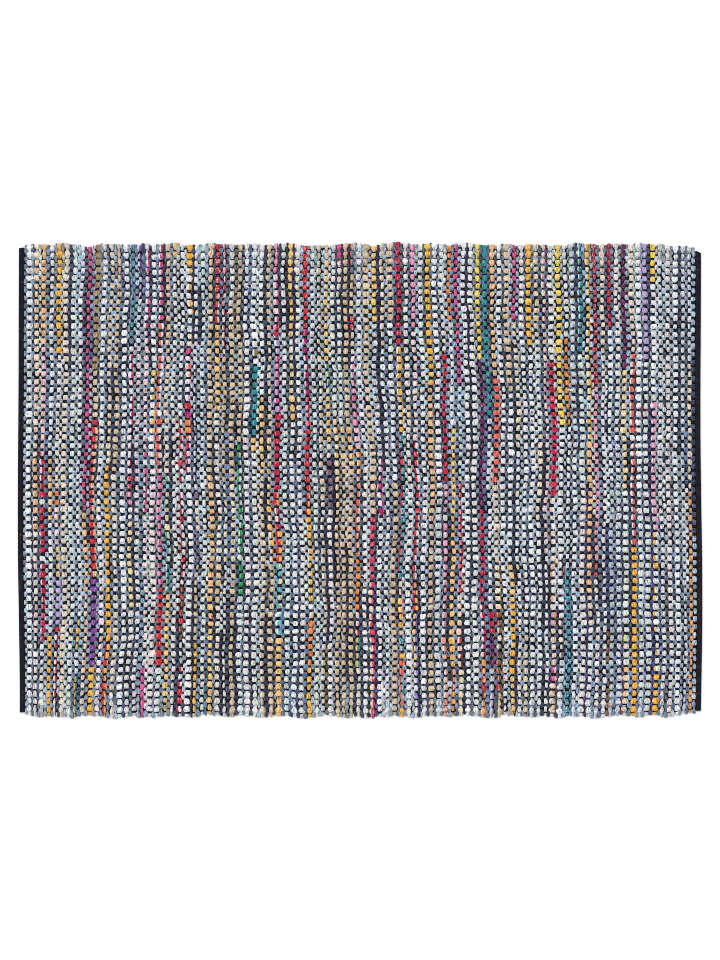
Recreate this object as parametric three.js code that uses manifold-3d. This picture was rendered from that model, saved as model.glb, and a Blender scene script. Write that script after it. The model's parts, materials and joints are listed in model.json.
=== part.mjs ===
// A flat, hand-woven rag rug. Strips of cloth are beaten together into ribs across it, over and under
// black cotton warp, and a black tape is folded over each short end.
// Millimetres: X runs along the rug, Y across it, and Z is up from the floor.
import * as THREE from 'three';
import { mergeVertices } from 'three/addons/utils/BufferGeometryUtils.js';
import Module from 'manifold-3d';

const wasm = await Module();
wasm.setup();

// Driving sizes
const rugLength = 2000;
const rugWidth = 1376;
const pickCount = 185;
const weaveHeight = 8.5; // floor to the top of a pick
const grooveHeight = 6; // floor to the groove between two picks
const selvedgeHeight = 4; // floor to the top of the selvedge's outer side
const selvedgeRound = 10; // how far in from the selvedge a pick reaches its full height
const bindingWidth = 16;
const bindingHeight = 6.2;
const tapeThickness = 1.2;
const clearance = 0.3; // between the binding and what it clasps

// The weaver's unevenness
const plumpness = 0.07; // how much thicker than the mean a cotton pick is, and thinner a denim one
const pickWaves = [
  { reach: 0.1, turn: 2.4, start: 0 },
  { reach: 0.07, turn: 5.3, start: 1 },
];
const wanders = [
  { reach: 5, across: 1450, along: 2600, start: 0.6 },
  { reach: 2.4, across: 830, along: -1500, start: 2.1 },
];
const endCalm = 0.55; // share of the wander that is gone at the short ends
const endHold = 4; // how quickly it goes towards them
const scallops = [
  { reach: 2.2, along: 108, start: 0.4, lag: 1.3 },
  { reach: 1.6, along: 173, start: 2.2, lag: 0.7 },
  { reach: 1.5, along: 640, start: 4.1, lag: 2.2 },
];
const corners = [
  { end: -1, side: 1, drawnIn: 4 },
  { end: -1, side: -1, drawnIn: 2 },
  { end: 1, side: 1, drawnIn: 20 },
  { end: 1, side: -1, drawnIn: 10 },
];
const cornerFade = 45; // distance over which a drawn-in corner comes back
const pickEndBulge = 1.2; // how far a pick's turn stands out past the grooves beside it
const edgePull = 6; // how quickly the scallops die away from the selvedge into the rug

// Steps of the surfaces
const shoulder = 0.27; // where a rib reaches its height, as a share of the pick
const columnsPerPick = 3;
const bindingSteps = 20;
const foldSegments = 6;

const halfLength = rugLength / 2;
const halfWidth = rugWidth / 2;
const innerRow = 1 - selvedgeRound / halfWidth;
const rowShares = [-1, -innerRow, -0.5, 0, 0.5, innerRow, 1];
const panelHalf = halfLength - bindingWidth - clearance;
const foldRadius = bindingHeight / 2;
const tongueEnd = halfLength - foldRadius;
const tongueBottom = tapeThickness + clearance;
const tongueTop = bindingHeight - tapeThickness - clearance;
const fullTurn = 2 * Math.PI;
const spare = 20; // how far a cutting block passes what it cuts

// Where each pick begins, from one binding to the other

function total(values) {
  return values.reduce((sum, value) => sum + value, 0);
}

function pickShare(pick) {
  const kind = pick % 2 === 1 ? plumpness : -plumpness;
  return 1 + kind + total(pickWaves.map((wave) => wave.reach * Math.sin(wave.turn * pick + wave.start)));
}

function pickStarts() {
  const sums = [0];
  for (let pick = 0; pick < pickCount; pick += 1) {
    sums.push(sums[pick] + pickShare(pick));
  }
  return sums.map((sum) => -panelHalf + (2 * panelHalf * sum) / sums[pickCount]);
}

function ribColumns() {
  const starts = pickStarts();
  const columns = [{ x: -tongueEnd - spare, z: grooveHeight, crest: false }];
  for (let pick = 0; pick < pickCount; pick += 1) {
    const thickness = starts[pick + 1] - starts[pick];
    columns.push({ x: starts[pick], z: grooveHeight, crest: false });
    columns.push({ x: starts[pick] + shoulder * thickness, z: weaveHeight, crest: true });
    columns.push({ x: starts[pick + 1] - shoulder * thickness, z: weaveHeight, crest: true });
  }
  columns.push({ x: panelHalf, z: grooveHeight, crest: false });
  columns.push({ x: tongueEnd + spare, z: grooveHeight, crest: false });
  return columns;
}

// How the even weave lies once it is off the loom

function wander(x, y) {
  const calm = 1 - endCalm * Math.abs(x / halfLength) ** endHold;
  const waves = wanders.map((wave) => {
    return wave.reach * Math.sin(fullTurn * (y / wave.across + x / wave.along) + wave.start);
  });
  return calm * total(waves);
}

function selvedgeWave(x, side) {
  const waves = scallops.map((wave) => {
    return wave.reach * Math.sin((fullTurn * x) / wave.along + wave.start + wave.lag * side);
  });
  const draws = corners
    .filter((corner) => corner.side === side)
    .map((corner) => corner.drawnIn * Math.exp((corner.end * x - halfLength) / cornerFade));
  return total(waves) - total(draws);
}

const columns = ribColumns();
const crests = columns.filter((column) => column.crest).map((column) => column.x);
const tapeRows = Array.from({ length: bindingSteps + 1 }, (_, step) => {
  return halfWidth * ((2 * step) / bindingSteps - 1);
});
const widestFar = Math.max(...crests.map((x) => selvedgeWave(x, 1)));
const widestNear = Math.max(...crests.map((x) => selvedgeWave(x, -1)));
const leftmost = Math.min(...tapeRows.map((y) => wander(-halfLength, y)));
const rightmost = Math.max(...tapeRows.map((y) => wander(halfLength, y)));

function settled(x) {
  const share = (x / halfLength + 1) / 2;
  return -leftmost * (1 - share) - rightmost * share;
}

function across(x, y) {
  const side = y < 0 ? -1 : 1;
  const widest = side > 0 ? widestFar : widestNear;
  const inset = widest - selvedgeWave(x, side) + pickEndBulge;
  return y - side * inset * Math.abs(y / halfWidth) ** edgePull;
}

function lay(geometry, place) {
  const points = geometry.attributes.position;
  const point = new THREE.Vector3();
  for (let i = 0; i < points.count; i += 1) {
    point.fromBufferAttribute(points, i);
    place(point);
    points.setXYZ(i, point.x, point.y, point.z);
  }
  return geometry;
}

function layInWeave(point) {
  const { x, y } = point;
  point.x = x + wander(x, y) + settled(x);
  point.y = across(x, y);
}

// Solids from surfaces, and back

function solid(geometry) {
  geometry.deleteAttribute('normal');
  geometry.deleteAttribute('uv');
  const merged = mergeVertices(geometry, 1e-4);
  return new wasm.Manifold(new wasm.Mesh({
    numProp: 3,
    vertProperties: new Float32Array(merged.attributes.position.array),
    triVerts: new Uint32Array(merged.index.array),
  }));
}

function surface(body) {
  const mesh = body.getMesh();
  const geometry = new THREE.BufferGeometry();
  geometry.setAttribute('position', new THREE.BufferAttribute(new Float32Array(mesh.vertProperties), 3));
  geometry.setIndex(new THREE.BufferAttribute(new Uint32Array(mesh.triVerts), 1));
  geometry.computeVertexNormals();
  return geometry;
}

// The woven panel: ribs on top, flat below, with a thin tongue in each binding

function ribbedSurface() {
  const steps = { along: columnsPerPick * pickCount + 2, across: rowShares.length - 1 };
  const geometry = new THREE.BoxGeometry(1, 1, 1, steps.along, steps.across, 1);
  return lay(geometry, (point) => {
    const column = columns[Math.round((point.x + 0.5) * steps.along)];
    const share = rowShares[Math.round((point.y + 0.5) * steps.across)];
    const atSelvedge = Math.abs(share) === 1;
    const onTop = point.z > 0;
    const topHeight = atSelvedge ? selvedgeHeight : column.z;
    point.set(column.x, share * halfWidth, onTop ? topHeight : -spare);
    layInWeave(point);
    if (atSelvedge && column.crest) {
      point.y += share * pickEndBulge;
    }
  });
}

function floorBlock() {
  const block = new THREE.BoxGeometry(rugLength + 2 * spare, rugWidth + 2 * spare, 2 * spare);
  return block.translate(0, 0, -spare);
}

function endBlock(end, from, to, bottom, top) {
  const block = new THREE.BoxGeometry(to - from, rugWidth + 2 * spare, top - bottom, 1, bindingSteps, 1);
  block.translate((from + to) / 2, 0, (bottom + top) / 2);
  if (end < 0) {
    block.rotateZ(Math.PI);
  }
  return lay(block, layInWeave);
}

function wovenPanel() {
  const outside = tongueEnd + 2 * spare;
  let body = solid(ribbedSurface()).subtract(solid(floorBlock()));
  for (const end of [-1, 1]) {
    body = body.subtract(solid(endBlock(end, panelHalf, outside, -spare, tongueBottom)));
    body = body.subtract(solid(endBlock(end, panelHalf, outside, tongueTop, weaveHeight + spare)));
    body = body.subtract(solid(endBlock(end, tongueEnd, outside, -spare, weaveHeight + spare)));
  }
  return surface(body);
}

// The end bindings: a tape folded over the tongue, open on the side of the weave

function foldedTape() {
  const section = new THREE.Shape();
  const innerRadius = foldRadius - tapeThickness;
  section.moveTo(halfLength - bindingWidth, 0);
  section.lineTo(tongueEnd, 0);
  section.absarc(tongueEnd, foldRadius, foldRadius, -Math.PI / 2, Math.PI / 2, false);
  section.lineTo(halfLength - bindingWidth, bindingHeight);
  section.lineTo(halfLength - bindingWidth, bindingHeight - tapeThickness);
  section.lineTo(tongueEnd, bindingHeight - tapeThickness);
  section.absarc(tongueEnd, foldRadius, innerRadius, Math.PI / 2, -Math.PI / 2, true);
  section.lineTo(halfLength - bindingWidth, tapeThickness);
  section.closePath();
  return section;
}

function endBinding(end) {
  const tape = new THREE.ExtrudeGeometry(foldedTape(), {
    depth: rugWidth,
    steps: bindingSteps,
    bevelEnabled: false,
    curveSegments: foldSegments,
  });
  tape.rotateX(Math.PI / 2);
  tape.translate(0, halfWidth, 0);
  if (end < 0) {
    tape.rotateZ(Math.PI);
  }
  return surface(solid(lay(tape, layInWeave)));
}

const ragWeave = new THREE.MeshStandardMaterial({ color: 0x8d9db0, roughness: 0.95, metalness: 0 });
const blackTape = new THREE.MeshStandardMaterial({ color: 0x1d1b22, roughness: 0.9, metalness: 0 });

function named(name, geometry, material) {
  const mesh = new THREE.Mesh(geometry, material);
  mesh.name = name;
  return mesh;
}

const rug = new THREE.Group();
rug.add(named('woven_panel', wovenPanel(), ragWeave));
rug.add(named('end_binding_left', endBinding(-1), blackTape));
rug.add(named('end_binding_right', endBinding(1), blackTape));

export default rug;
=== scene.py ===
"""A flat, hand-woven rag rug. Gathered rags of denim and of plain or printed cotton run across it, over and
under flat bundles of black cotton warp, and a black tape is folded over each short end.
Metres: X runs along the rug, Y across it, and Z is up from the floor."""

import json
import math

import bmesh
import bpy
import numpy as np
from bpy.props import FloatProperty, FloatVectorProperty, IntProperty, PointerProperty
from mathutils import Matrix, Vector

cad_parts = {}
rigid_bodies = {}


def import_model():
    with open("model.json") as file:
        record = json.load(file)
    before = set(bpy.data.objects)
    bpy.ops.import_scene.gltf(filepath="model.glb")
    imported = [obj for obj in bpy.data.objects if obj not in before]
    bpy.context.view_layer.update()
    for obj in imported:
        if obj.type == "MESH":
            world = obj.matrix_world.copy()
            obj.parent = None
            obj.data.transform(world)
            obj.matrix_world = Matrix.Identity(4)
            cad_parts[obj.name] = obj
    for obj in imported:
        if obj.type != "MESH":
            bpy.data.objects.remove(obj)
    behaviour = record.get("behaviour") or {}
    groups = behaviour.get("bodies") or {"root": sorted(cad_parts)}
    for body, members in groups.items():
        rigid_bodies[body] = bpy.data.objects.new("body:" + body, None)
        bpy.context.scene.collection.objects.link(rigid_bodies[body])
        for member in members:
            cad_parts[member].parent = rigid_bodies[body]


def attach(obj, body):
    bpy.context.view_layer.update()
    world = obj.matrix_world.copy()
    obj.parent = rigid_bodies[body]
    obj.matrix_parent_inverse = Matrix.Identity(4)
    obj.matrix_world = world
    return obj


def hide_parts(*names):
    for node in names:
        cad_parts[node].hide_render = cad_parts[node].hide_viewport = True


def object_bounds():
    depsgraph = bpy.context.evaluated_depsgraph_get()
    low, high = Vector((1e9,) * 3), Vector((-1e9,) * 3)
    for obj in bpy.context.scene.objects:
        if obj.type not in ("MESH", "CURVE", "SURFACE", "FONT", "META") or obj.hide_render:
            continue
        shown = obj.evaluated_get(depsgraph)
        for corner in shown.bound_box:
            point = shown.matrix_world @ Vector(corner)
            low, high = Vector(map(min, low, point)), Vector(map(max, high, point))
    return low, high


bl_info = {
    "name": "Rag rug",
    "version": (1, 0, 0),
    "blender": (4, 5, 0),
    "location": "3D View > Sidebar > Rag rug",
    "description": "Lays the rags, warp, end tapes and loose threads of a hand-woven rag rug",
    "category": "Mesh",
}

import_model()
CAD_LOW, CAD_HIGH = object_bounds()
PANEL = "woven_panel"
END_TAPES = {-1: "end_binding_left", 1: "end_binding_right"}

MM = 0.001
TURN = 2 * math.pi
HALF_LENGTH = CAD_HIGH.x
HALF_WIDTH = CAD_HIGH.y
WEAVE_HEIGHT = CAD_HIGH.z

# The weaver's unevenness, as in the solids
PLUMPNESS = 0.07  # how much thicker than the mean a cotton rag is, and thinner a denim one
PICK_WAVES = [
    {"reach": 0.1, "turn": 2.4, "start": 0.0},
    {"reach": 0.07, "turn": 5.3, "start": 1.0},
]
WANDERS = [
    {"reach": 5 * MM, "across": 1.45, "along": 2.6, "start": 0.6},
    {"reach": 2.4 * MM, "across": 0.83, "along": -1.5, "start": 2.1},
]
END_CALM = 0.55  # share of the wander that is gone at the short ends
END_HOLD = 4  # how quickly it goes towards them
SCALLOPS = [
    {"reach": 2.2 * MM, "along": 0.108, "start": 0.4, "lag": 1.3},
    {"reach": 1.6 * MM, "along": 0.173, "start": 2.2, "lag": 0.7},
    {"reach": 1.5 * MM, "along": 0.64, "start": 4.1, "lag": 2.2},
]
CORNERS = [
    {"end": -1, "side": 1, "drawn_in": 4 * MM},
    {"end": -1, "side": -1, "drawn_in": 2 * MM},
    {"end": 1, "side": 1, "drawn_in": 20 * MM},
    {"end": 1, "side": -1, "drawn_in": 10 * MM},
]
CORNER_FADE = 0.045  # distance over which a drawn-in corner comes back
PICK_END_BULGE = 1.2 * MM  # how far a pick's turn stands out past the grooves beside it
EDGE_PULL = 6  # how quickly the scallops die away from the selvedge into the rug
SHOULDER = 0.27  # where a solid rib reaches its height, as a share of the pick

# What is added here: smaller sways of the rags, ripples of the warp, and places where the rags lie to one
# side, + to the right. Those places and how far they spread are shares of half the rug.
SWAYS = [
    {"reach": 1.9 * MM, "across": 0.52, "along": 0.61, "start": 1.1},
    {"reach": 1.5 * MM, "across": -0.33, "along": 0.27, "start": 3.0},
    {"reach": 1.1 * MM, "across": 0.171, "along": 0.38, "start": 5.2},
    {"reach": 0.8 * MM, "across": -0.092, "along": 0.143, "start": 0.3},
]
RIPPLES = [
    {"reach": 3.4 * MM, "across": 3.2, "along": 1.6, "start": 5.2},
    {"reach": 2.4 * MM, "across": 0.71, "along": 0.47, "start": 0.4},
    {"reach": 1.9 * MM, "across": 0.31, "along": -0.26, "start": 2.2},
    {"reach": 1.2 * MM, "across": 0.24, "along": 0.131, "start": 4.4},
    {"reach": 0.9 * MM, "across": -0.118, "along": 0.074, "start": 0.9},
]
LEANS = [
    {"x": -0.78, "y": 0.92, "reach": 9 * MM, "wide": 0.1, "high": 0.15},
    {"x": -0.42, "y": 0.65, "reach": -11 * MM, "wide": 0.16, "high": 0.3},
    {"x": -0.15, "y": 0.85, "reach": -6 * MM, "wide": 0.1, "high": 0.15},
    {"x": 0.02, "y": 0.75, "reach": -16 * MM, "wide": 0.09, "high": 0.55},
    {"x": -0.52, "y": -0.28, "reach": 8 * MM, "wide": 0.14, "high": 0.25},
    {"x": -0.17, "y": -0.65, "reach": 16 * MM, "wide": 0.12, "high": 0.6},
    {"x": -0.8, "y": -0.95, "reach": -18 * MM, "wide": 0.3, "high": 0.3},
    {"x": 0.14, "y": -0.8, "reach": 11 * MM, "wide": 0.35, "high": 0.6},
    {"x": 0.4, "y": -0.8, "reach": 13 * MM, "wide": 0.09, "high": 0.4},
    {"x": 0.92, "y": -0.75, "reach": 8 * MM, "wide": 0.12, "high": 0.25},
]
TAPE_HOLD = 8  # how close to the tapes the sways and ripples die away
LEAN_HOLD = 20  # the same for the leans
OPEN_MIDDLE = 0.009  # how much wider apart the bundles are than by the selvedges
SELVEDGE_CROWDING = 10  # how close to the selvedges they come together

TAPE_ROWS = 20
TAPE_WIDTH = 16 * MM
TAPE_HEIGHT = 6.2 * MM
TAPE_THICKNESS = 1.2 * MM
CLEARANCE = 0.3 * MM
PANEL_HALF = HALF_LENGTH - TAPE_WIDTH - CLEARANCE
WARP_THICKNESS = 1.3 * MM
WARP_RISE = 0.12 * MM  # spread of the bundles' height
WARP_STRAY = 0.2 * MM  # spread of their place to the side
WARP_SHIFT = 37.0  # millimetres from one bundle's yarns to the next one's in their map
STITCH_PITCH = 4 * MM
STITCH_INSET = 3 * MM  # from the tape's inner edge
STITCH_PULL = 0.35 * MM  # how far the sewing draws the tape down
STITCH_SWELL = 0.15 * MM  # how much more it does so in places
STITCH_DIP = 1.3 * MM  # how far beside the sewing the tape is drawn down
STITCH_FREE = 4 * MM  # from the last stitch to the selvedge
STITCH_STRAY = 0.08 * MM
STITCH_RADIUS = 0.32 * MM
STITCH_SINK = 0.05 * MM
STITCH_PLACES = (-0.36, 0.0, 0.36)  # of its points along the row, as shares of the pitch
STITCH_HEIGHTS = (-0.12, 0.22, -0.12)  # of its points, in millimetres

# One oval of a rag on top of the warp: how far each of its rings is from the middle, how high its top and its
# bottom lie, in millimetres, and its width as a share of the rag's
OVAL_RINGS = [
    {"along": -8.9, "top": 4.4, "bottom": 0.1, "width": 0.56},
    {"along": -6.1, "top": 7.6, "bottom": 1.4, "width": 0.86},
    {"along": 0.0, "top": 8.6, "bottom": 2.5, "width": 1.05},
    {"along": 6.1, "top": 7.6, "bottom": 1.4, "width": 0.86},
    {"along": 8.9, "top": 4.4, "bottom": 0.1, "width": 0.56},
]
# Where a rag turns round the outermost bundle: from the selvedge, with the same columns
TURN_ON_TOP = {"along": 1.0, "top": 6.5, "bottom": 0.8, "width": 0.74}
TURN_BELOW = [
    {"along": 5.0, "top": 4.4, "bottom": 0.1, "width": 0.66},
    {"along": 2.6, "top": 6.8, "bottom": 0.4, "width": 0.72},
]
CROWN = 5  # millimetres; a ring whose top is higher belongs to an oval's crown
TIP_HEIGHT = 3.6 * MM
# An oval as loose yarns lie over it, and how much lower its edges and the warp between are, in millimetres
OVAL_HALF_WIDTH = 6.2 * MM
OVAL_HALF_LENGTH = 7.4 * MM
OVAL_FALL = 1.6
WARP_SWELL = 1.2
SECTION_EDGE = 0.4  # height of a rag's edges, as a share of its height
SECTION_POWER = 2.8  # how square its top is
FOLD_DEPTH = 0.2  # of the folds along it, as a share of its height
CLOTH_HALF_WIDTH = 6.4  # millimetres of cloth from the middle of a rag to its edge
UNDERSIDE_WIDTH = 9.0
UNDERSIDE_SHARE = 0.24  # of a rag's column in the bake map
TIP_SHARE = 0.4  # how far a tube's point reaches in its maps, as a share of the step beside it
BAKE_MARGIN = 0.06  # free edge of a tube's column in the bake map, as a share of the column
BAKE_END = 0.01  # the same at the column's ends

# Chance in the weave: for each trait its spread, and the least and the most it may be
SPREADS = {
    "beating": (0.7, -1.6, 1.6),  # where a pick begins, in millimetres
    "stretch": (0.09, -0.2, 0.17),  # an oval's length, as a share
    "lift": (0.45, -1.1, 0.7),  # its height, in millimetres
    "sway": (0.6, -1.5, 1.5),  # its place to the side, in millimetres
    "slide": (0.8, -1.6, 1.6),  # its place along the rag, in millimetres
    "skew": (0.06, -0.17, 0.17),  # its turn in plan
    "roll": (0.12, -0.25, 0.25),  # how much higher one of its sides is, as a share
    "plump": (0.12, -0.26, 0.32),  # its width, as a share
    "outline": (0.05, -0.12, 0.12),  # the width of one side of a ring, as a share
    "shade": (1.0, -2.2, 1.8),  # how bright an oval is, times its kind's shading
    "side": (0.3, -0.7, 0.7),  # where the second cloth begins, as a share of half the rag
    "slow": (0.6, -1.4, 1.4),  # what changes slowly along a rag
}
SLOW_SWAY = 1.1  # millimetres
SLOW_SLIDE = 1.5  # millimetres
SLOW_PLUMP = 0.13
TINT_SHARE = 0.2  # of the shading that is drawn for red, green and blue apart
PICK_BULGE = (4.5 * MM, 11 * MM)  # how far a rag's turns stand out
# What each group of pieces adds to the seed
SEEDS = {
    "denim_rags": 0, "cotton_rags": 1, "beating": 3, "warp": 11, "end_tapes": 23, "loose_threads": 31,
    "rag_ends": 47,
}

STRETCHES = 5  # pieces that the rags of each kind are kept in
LEFT_STRETCHES = 3  # of them that lie on the left part of the warp

# The photo, in pixels
PHOTO_HEIGHT = 960
RUG_PIXELS = 685  # length of the rug in it
RUG_CENTRE_ROW = 480.3
PHOTO_PIXEL = 2 * HALF_LENGTH / RUG_PIXELS


def screen_colour(red, green, blue):
    """A colour as a screen shows it, from 0 to 255, in Blender's linear values."""
    shares = np.array([red, green, blue]) / 255
    linear = np.where(shares <= 0.04045, shares / 12.92, ((shares + 0.055) / 1.055) ** 2.4)
    return tuple(float(share) for share in linear)


# Cloths by name, with the colour of their ground as a screen shows it
CLOTHS = {
    "white": (232, 235, 239), "off_white": (228, 226, 222), "cream": (236, 220, 196),
    "pale_green": (218, 229, 225), "pinkish": (234, 221, 217), "silver": (204, 211, 215),
    "pale_blue": (205, 220, 228), "grey_leaf": (226, 230, 230), "blue_scroll": (230, 233, 238),
    "black_marks": (230, 230, 232), "peach": (241, 190, 134), "tan": (221, 194, 158),
    "tan_lines": (228, 204, 170), "khaki": (166, 140, 96), "brown": (122, 78, 46), "olive": (92, 98, 70),
    "olive_grey": (116, 112, 92), "apricot": (248, 200, 120), "yellow": (248, 212, 84),
    "butter": (240, 218, 160), "marigold": (252, 184, 58), "orange": (246, 140, 54),
    "coral": (236, 100, 80), "salmon": (242, 156, 132), "rose": (230, 66, 102), "red": (220, 40, 54),
    "crimson": (208, 32, 70), "pink": (236, 158, 186), "pale_pink": (242, 198, 204),
    "fuchsia": (222, 80, 144), "magenta": (184, 26, 118), "plum": (118, 38, 96), "mauve": (134, 104, 128),
    "purple": (132, 66, 158), "lilac": (190, 164, 216), "violet": (150, 124, 208), "teal": (34, 142, 152),
    "turquoise": (84, 190, 200), "green": (34, 164, 92), "lime": (194, 222, 76),
    "red_print": (206, 36, 60), "rosy_marks": (238, 237, 238), "pink_print": (242, 224, 227),
    "orange_print": (242, 206, 150), "apricot_print": (248, 172, 98), "teal_print": (24, 148, 168),
    "lilac_print": (226, 218, 236), "light_denim": (154, 184, 206), "faded_denim": (206, 219, 223),
    "mid_denim": (98, 131, 165), "blue_denim": (64, 100, 150), "grey_denim": (130, 152, 171),
    "slate_denim": (70, 94, 124), "dark_denim": (42, 62, 98), "navy_denim": (32, 42, 78),
    "royal_denim": (40, 46, 126),
}
PLAIN_COLOURS = {"warp": (21, 19, 25), "tape": (22, 20, 27), "floor": (250, 250, 250)}
# What is printed on some of the cloths: its colour and motif
PRINTS = {
    "cream": ((206, 176, 140), "marks"), "silver": ((232, 235, 238), "scroll"),
    "grey_leaf": ((150, 172, 180), "leaf"), "blue_scroll": ((104, 120, 156), "scroll"),
    "black_marks": ((40, 40, 50), "marks"), "tan_lines": ((150, 86, 60), "lines"),
    "olive": ((190, 50, 60), "marks"), "olive_grey": ((84, 84, 78), "scroll"),
    "mauve": ((86, 60, 88), "marks"), "red_print": ((242, 228, 226), "marks"),
    "rosy_marks": ((226, 130, 156), "marks"), "pink_print": ((222, 84, 134), "marks"),
    "orange_print": ((222, 88, 40), "marks"), "apricot_print": ((232, 86, 72), "marks"),
    "teal_print": ((226, 234, 236), "marks"), "lilac_print": ((128, 96, 190), "leaf"),
}
MOTIFS = ("leaf", "scroll", "lines", "marks")
ANY = "any"
# The bright rags: for a pick, its cloths from the far selvedge to the near one, each with the bundle it ends
# at, or none where it goes on to the near selvedge. Two cloths with + between them lie side by side. Chance
# picks the cloths where a rag is any, after the last one named, and in the picks that aren't listed.
BRIGHT_RAGS = {
    1: "white",
    3: "cream 53, peach 71, pinkish",
    5: "peach 25, pale_pink 54, crimson 101",
    7: "white 53, marigold 70, white 97, marigold",
    9: "marigold 27, rosy_marks 57, pink_print 62, fuchsia+orange 65, pink_print 75, orange_print 83, "
       "lilac 95, red 98, crimson+white",
    11: "cream",
    13: "pale_green",
    15: "white 93, teal+marigold 102, white 107, teal+marigold",
    17: "fuchsia 67, peach 87, peach+cream 109, cream",
    19: "khaki 32, butter+tan 43, orange_print+red 83, purple 106, marigold",
    21: "white 57, rosy_marks",
    23: "cream 56, marigold 100, marigold+red",
    25: "tan 58, cream",
    27: "white",
    29: "teal+mid_denim 25, crimson+white 40, crimson+white 57, red+pink 66, any 70, butter 92",
    31: "purple+white 13, white+pale_blue 24, black_marks",
    33: "fuchsia+white 26, pink_print 52, fuchsia 67, pink_print 80, pinkish 106, fuchsia",
    35: "white 31, yellow+white 48, white 60, pinkish",
    37: "fuchsia+white 20, white+coral 57, fuchsia+pink 86, red 105",
    39: "tan 27, cream 57, butter+turquoise 80, teal+butter 88, apricot",
    41: "apricot+white 4, tan+white 9, off_white",
    43: "white 44, white+red 86, brown+red 100, any 106, white+red",
    45: "marigold 6, marigold+white 26, fuchsia 28, coral+white 33, pink+white 40, red 42, magenta 44, "
        "coral+orange 47, white+crimson 57, white",
    47: "white 30, mauve+white 63, cream 72, mauve 79, tan_lines 100, marigold",
    49: "pale_green",
    51: "tan 58, peach 88, apricot",
    53: "red_print 12, pinkish+red 19, apricot 41, off_white 79, tan_lines 90, off_white",
    55: "crimson 12, blue_scroll+coral 15, crimson+white 28, tan 60, apricot+white 73, black_marks 77, "
        "apricot+white 79",
    57: "pale_green 12, cream 20, tan 60, cream 79, tan",
    59: "tan 49, white+green 70, green+pale_green 80, green 88, pale_green",
    61: "white 30, rosy_marks",
    63: "white 25, khaki 28, white 30, teal 48, apricot 52, off_white",
    65: "white 38, apricot 58, tan",
    67: "tan 22, cream 40, tan 60, marigold 79, tan",
    69: "fuchsia+pink 8, fuchsia+pinkish 20, crimson+pink 22, lilac+white 28, crimson+lilac 33, "
        "fuchsia+lilac 42, crimson 62, marigold+red 66, crimson+white 72, marigold+red 80, "
        "butter+turquoise 92, turquoise+white 98, apricot",
    71: "pale_green",
    73: "apricot 22, white+apricot 37, apricot 44, white",
    75: "off_white",
    77: "red 19, magenta+red 24, magenta 38, red+pink 46, red 57, marigold+red 67, marigold 93, "
        "orange 102, orange+coral 105, marigold",
    79: "pale_green",
    81: "tan",
    83: "apricot 16, orange_print 21, apricot 29, green+cream 38, apricot 50, pinkish 53, mauve 66, "
        "rosy_marks",
    85: "pale_green 44, apricot+cream 74, tan",
    87: "fuchsia 3, pink_print 12, pale_green 46, tan",
    89: "tan 46, orange_print 56, tan",
    91: "blue_scroll+coral 2, mid_denim+coral 7, orange_print 12, tan_lines 18, red_print 22, pinkish 30, "
        "pink 36, fuchsia+pink 46, pale_pink 52, orange+cream 60, cream+coral 78, orange 92, red+white 98, "
        "teal+marigold 105, cream+blue_scroll",
    93: "white",
    95: "tan 67, rose 83, rose+cream",
    97: "apricot 9, pink+yellow 20, any 53, magenta 67, white",
    99: "tan+white 30, white",
    101: "tan 20, any 60, tan",
    103: "crimson 25, marigold 48, teal_print+red 84, olive 88, fuchsia+yellow 91, marigold 95, "
         "tan_lines 98, teal_print 101, marigold 104, coral 108, turquoise+coral 115, marigold",
    105: "off_white 60, white",
    107: "pink 22, pink_print 50, white+red 84, marigold+red 91, violet+apricot 105, violet+white",
    109: "any 50, white",
    111: "marigold 36, peach 70, tan",
    113: "white 60, silver",
    115: "any 28, crimson 60, pink 97, salmon",
    117: "orange 20, any 46, apricot 98, apricot+marigold 106, salmon+brown 112, marigold+orange",
    119: "fuchsia 36, any 60, red+lilac 88, red+cream 106, butter 113, cream",
    121: "white",
    123: "any 40, off_white",
    125: "yellow 30, plum 66, crimson 84, marigold+crimson 86, crimson 90, crimson+pinkish 104, "
         "marigold+crimson 113, orange",
    127: "teal 44, any 92, crimson 97, plum 105, grey_leaf 111, lilac_print",
    129: "peach 33, coral 60, cream 92, olive+red 96, olive+cream 102, olive+red 112, tan+olive",
    131: "white 98, black_marks 112, white",
    133: "tan 38, white 80, apricot 89, marigold 108, apricot",
    135: "fuchsia 20, cream 52, white 98, pinkish",
    137: "white 98, tan_lines 101, cream",
    139: "marigold 26, white 100, pale_green",
    141: "any 70, white",
    143: "pink 40, pale_pink 78, white",
    145: "off_white 30, crimson 64, white+peach 91, orange+lilac 96, cream 105, pinkish+fuchsia 110, "
         "peach+pinkish",
    147: "yellow 45, white 94, mauve+cream 103, silver 112, white",
    149: "any 24, orange 46, white 82, teal_print",
    151: "any 50, white",
    153: "teal 28, pale_green 60, pinkish",
    155: "marigold 50, peach 87, cream 95, white",
    157: "red_print 36, pink 80, red_print 84, rosy_marks",
    159: "any 30, white",
    161: "crimson 22, white 60, grey_leaf",
    163: "any 44, blue_scroll",
    165: "plum 32, butter 62, pale_green 98, pale_green+lime 100, pale_green 105, pale_green+peach",
    167: "cream 28, coral 75, marigold",
    171: "lilac 30, any 60, silver",
    173: "yellow 9, white 40, pink 71, white+marigold 107, marigold",
    175: "any 60, black_marks",
    177: "pinkish",
    179: "white",
    181: "silver",
    183: "blue_scroll 30, cream 61, apricot_print",
}
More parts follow.
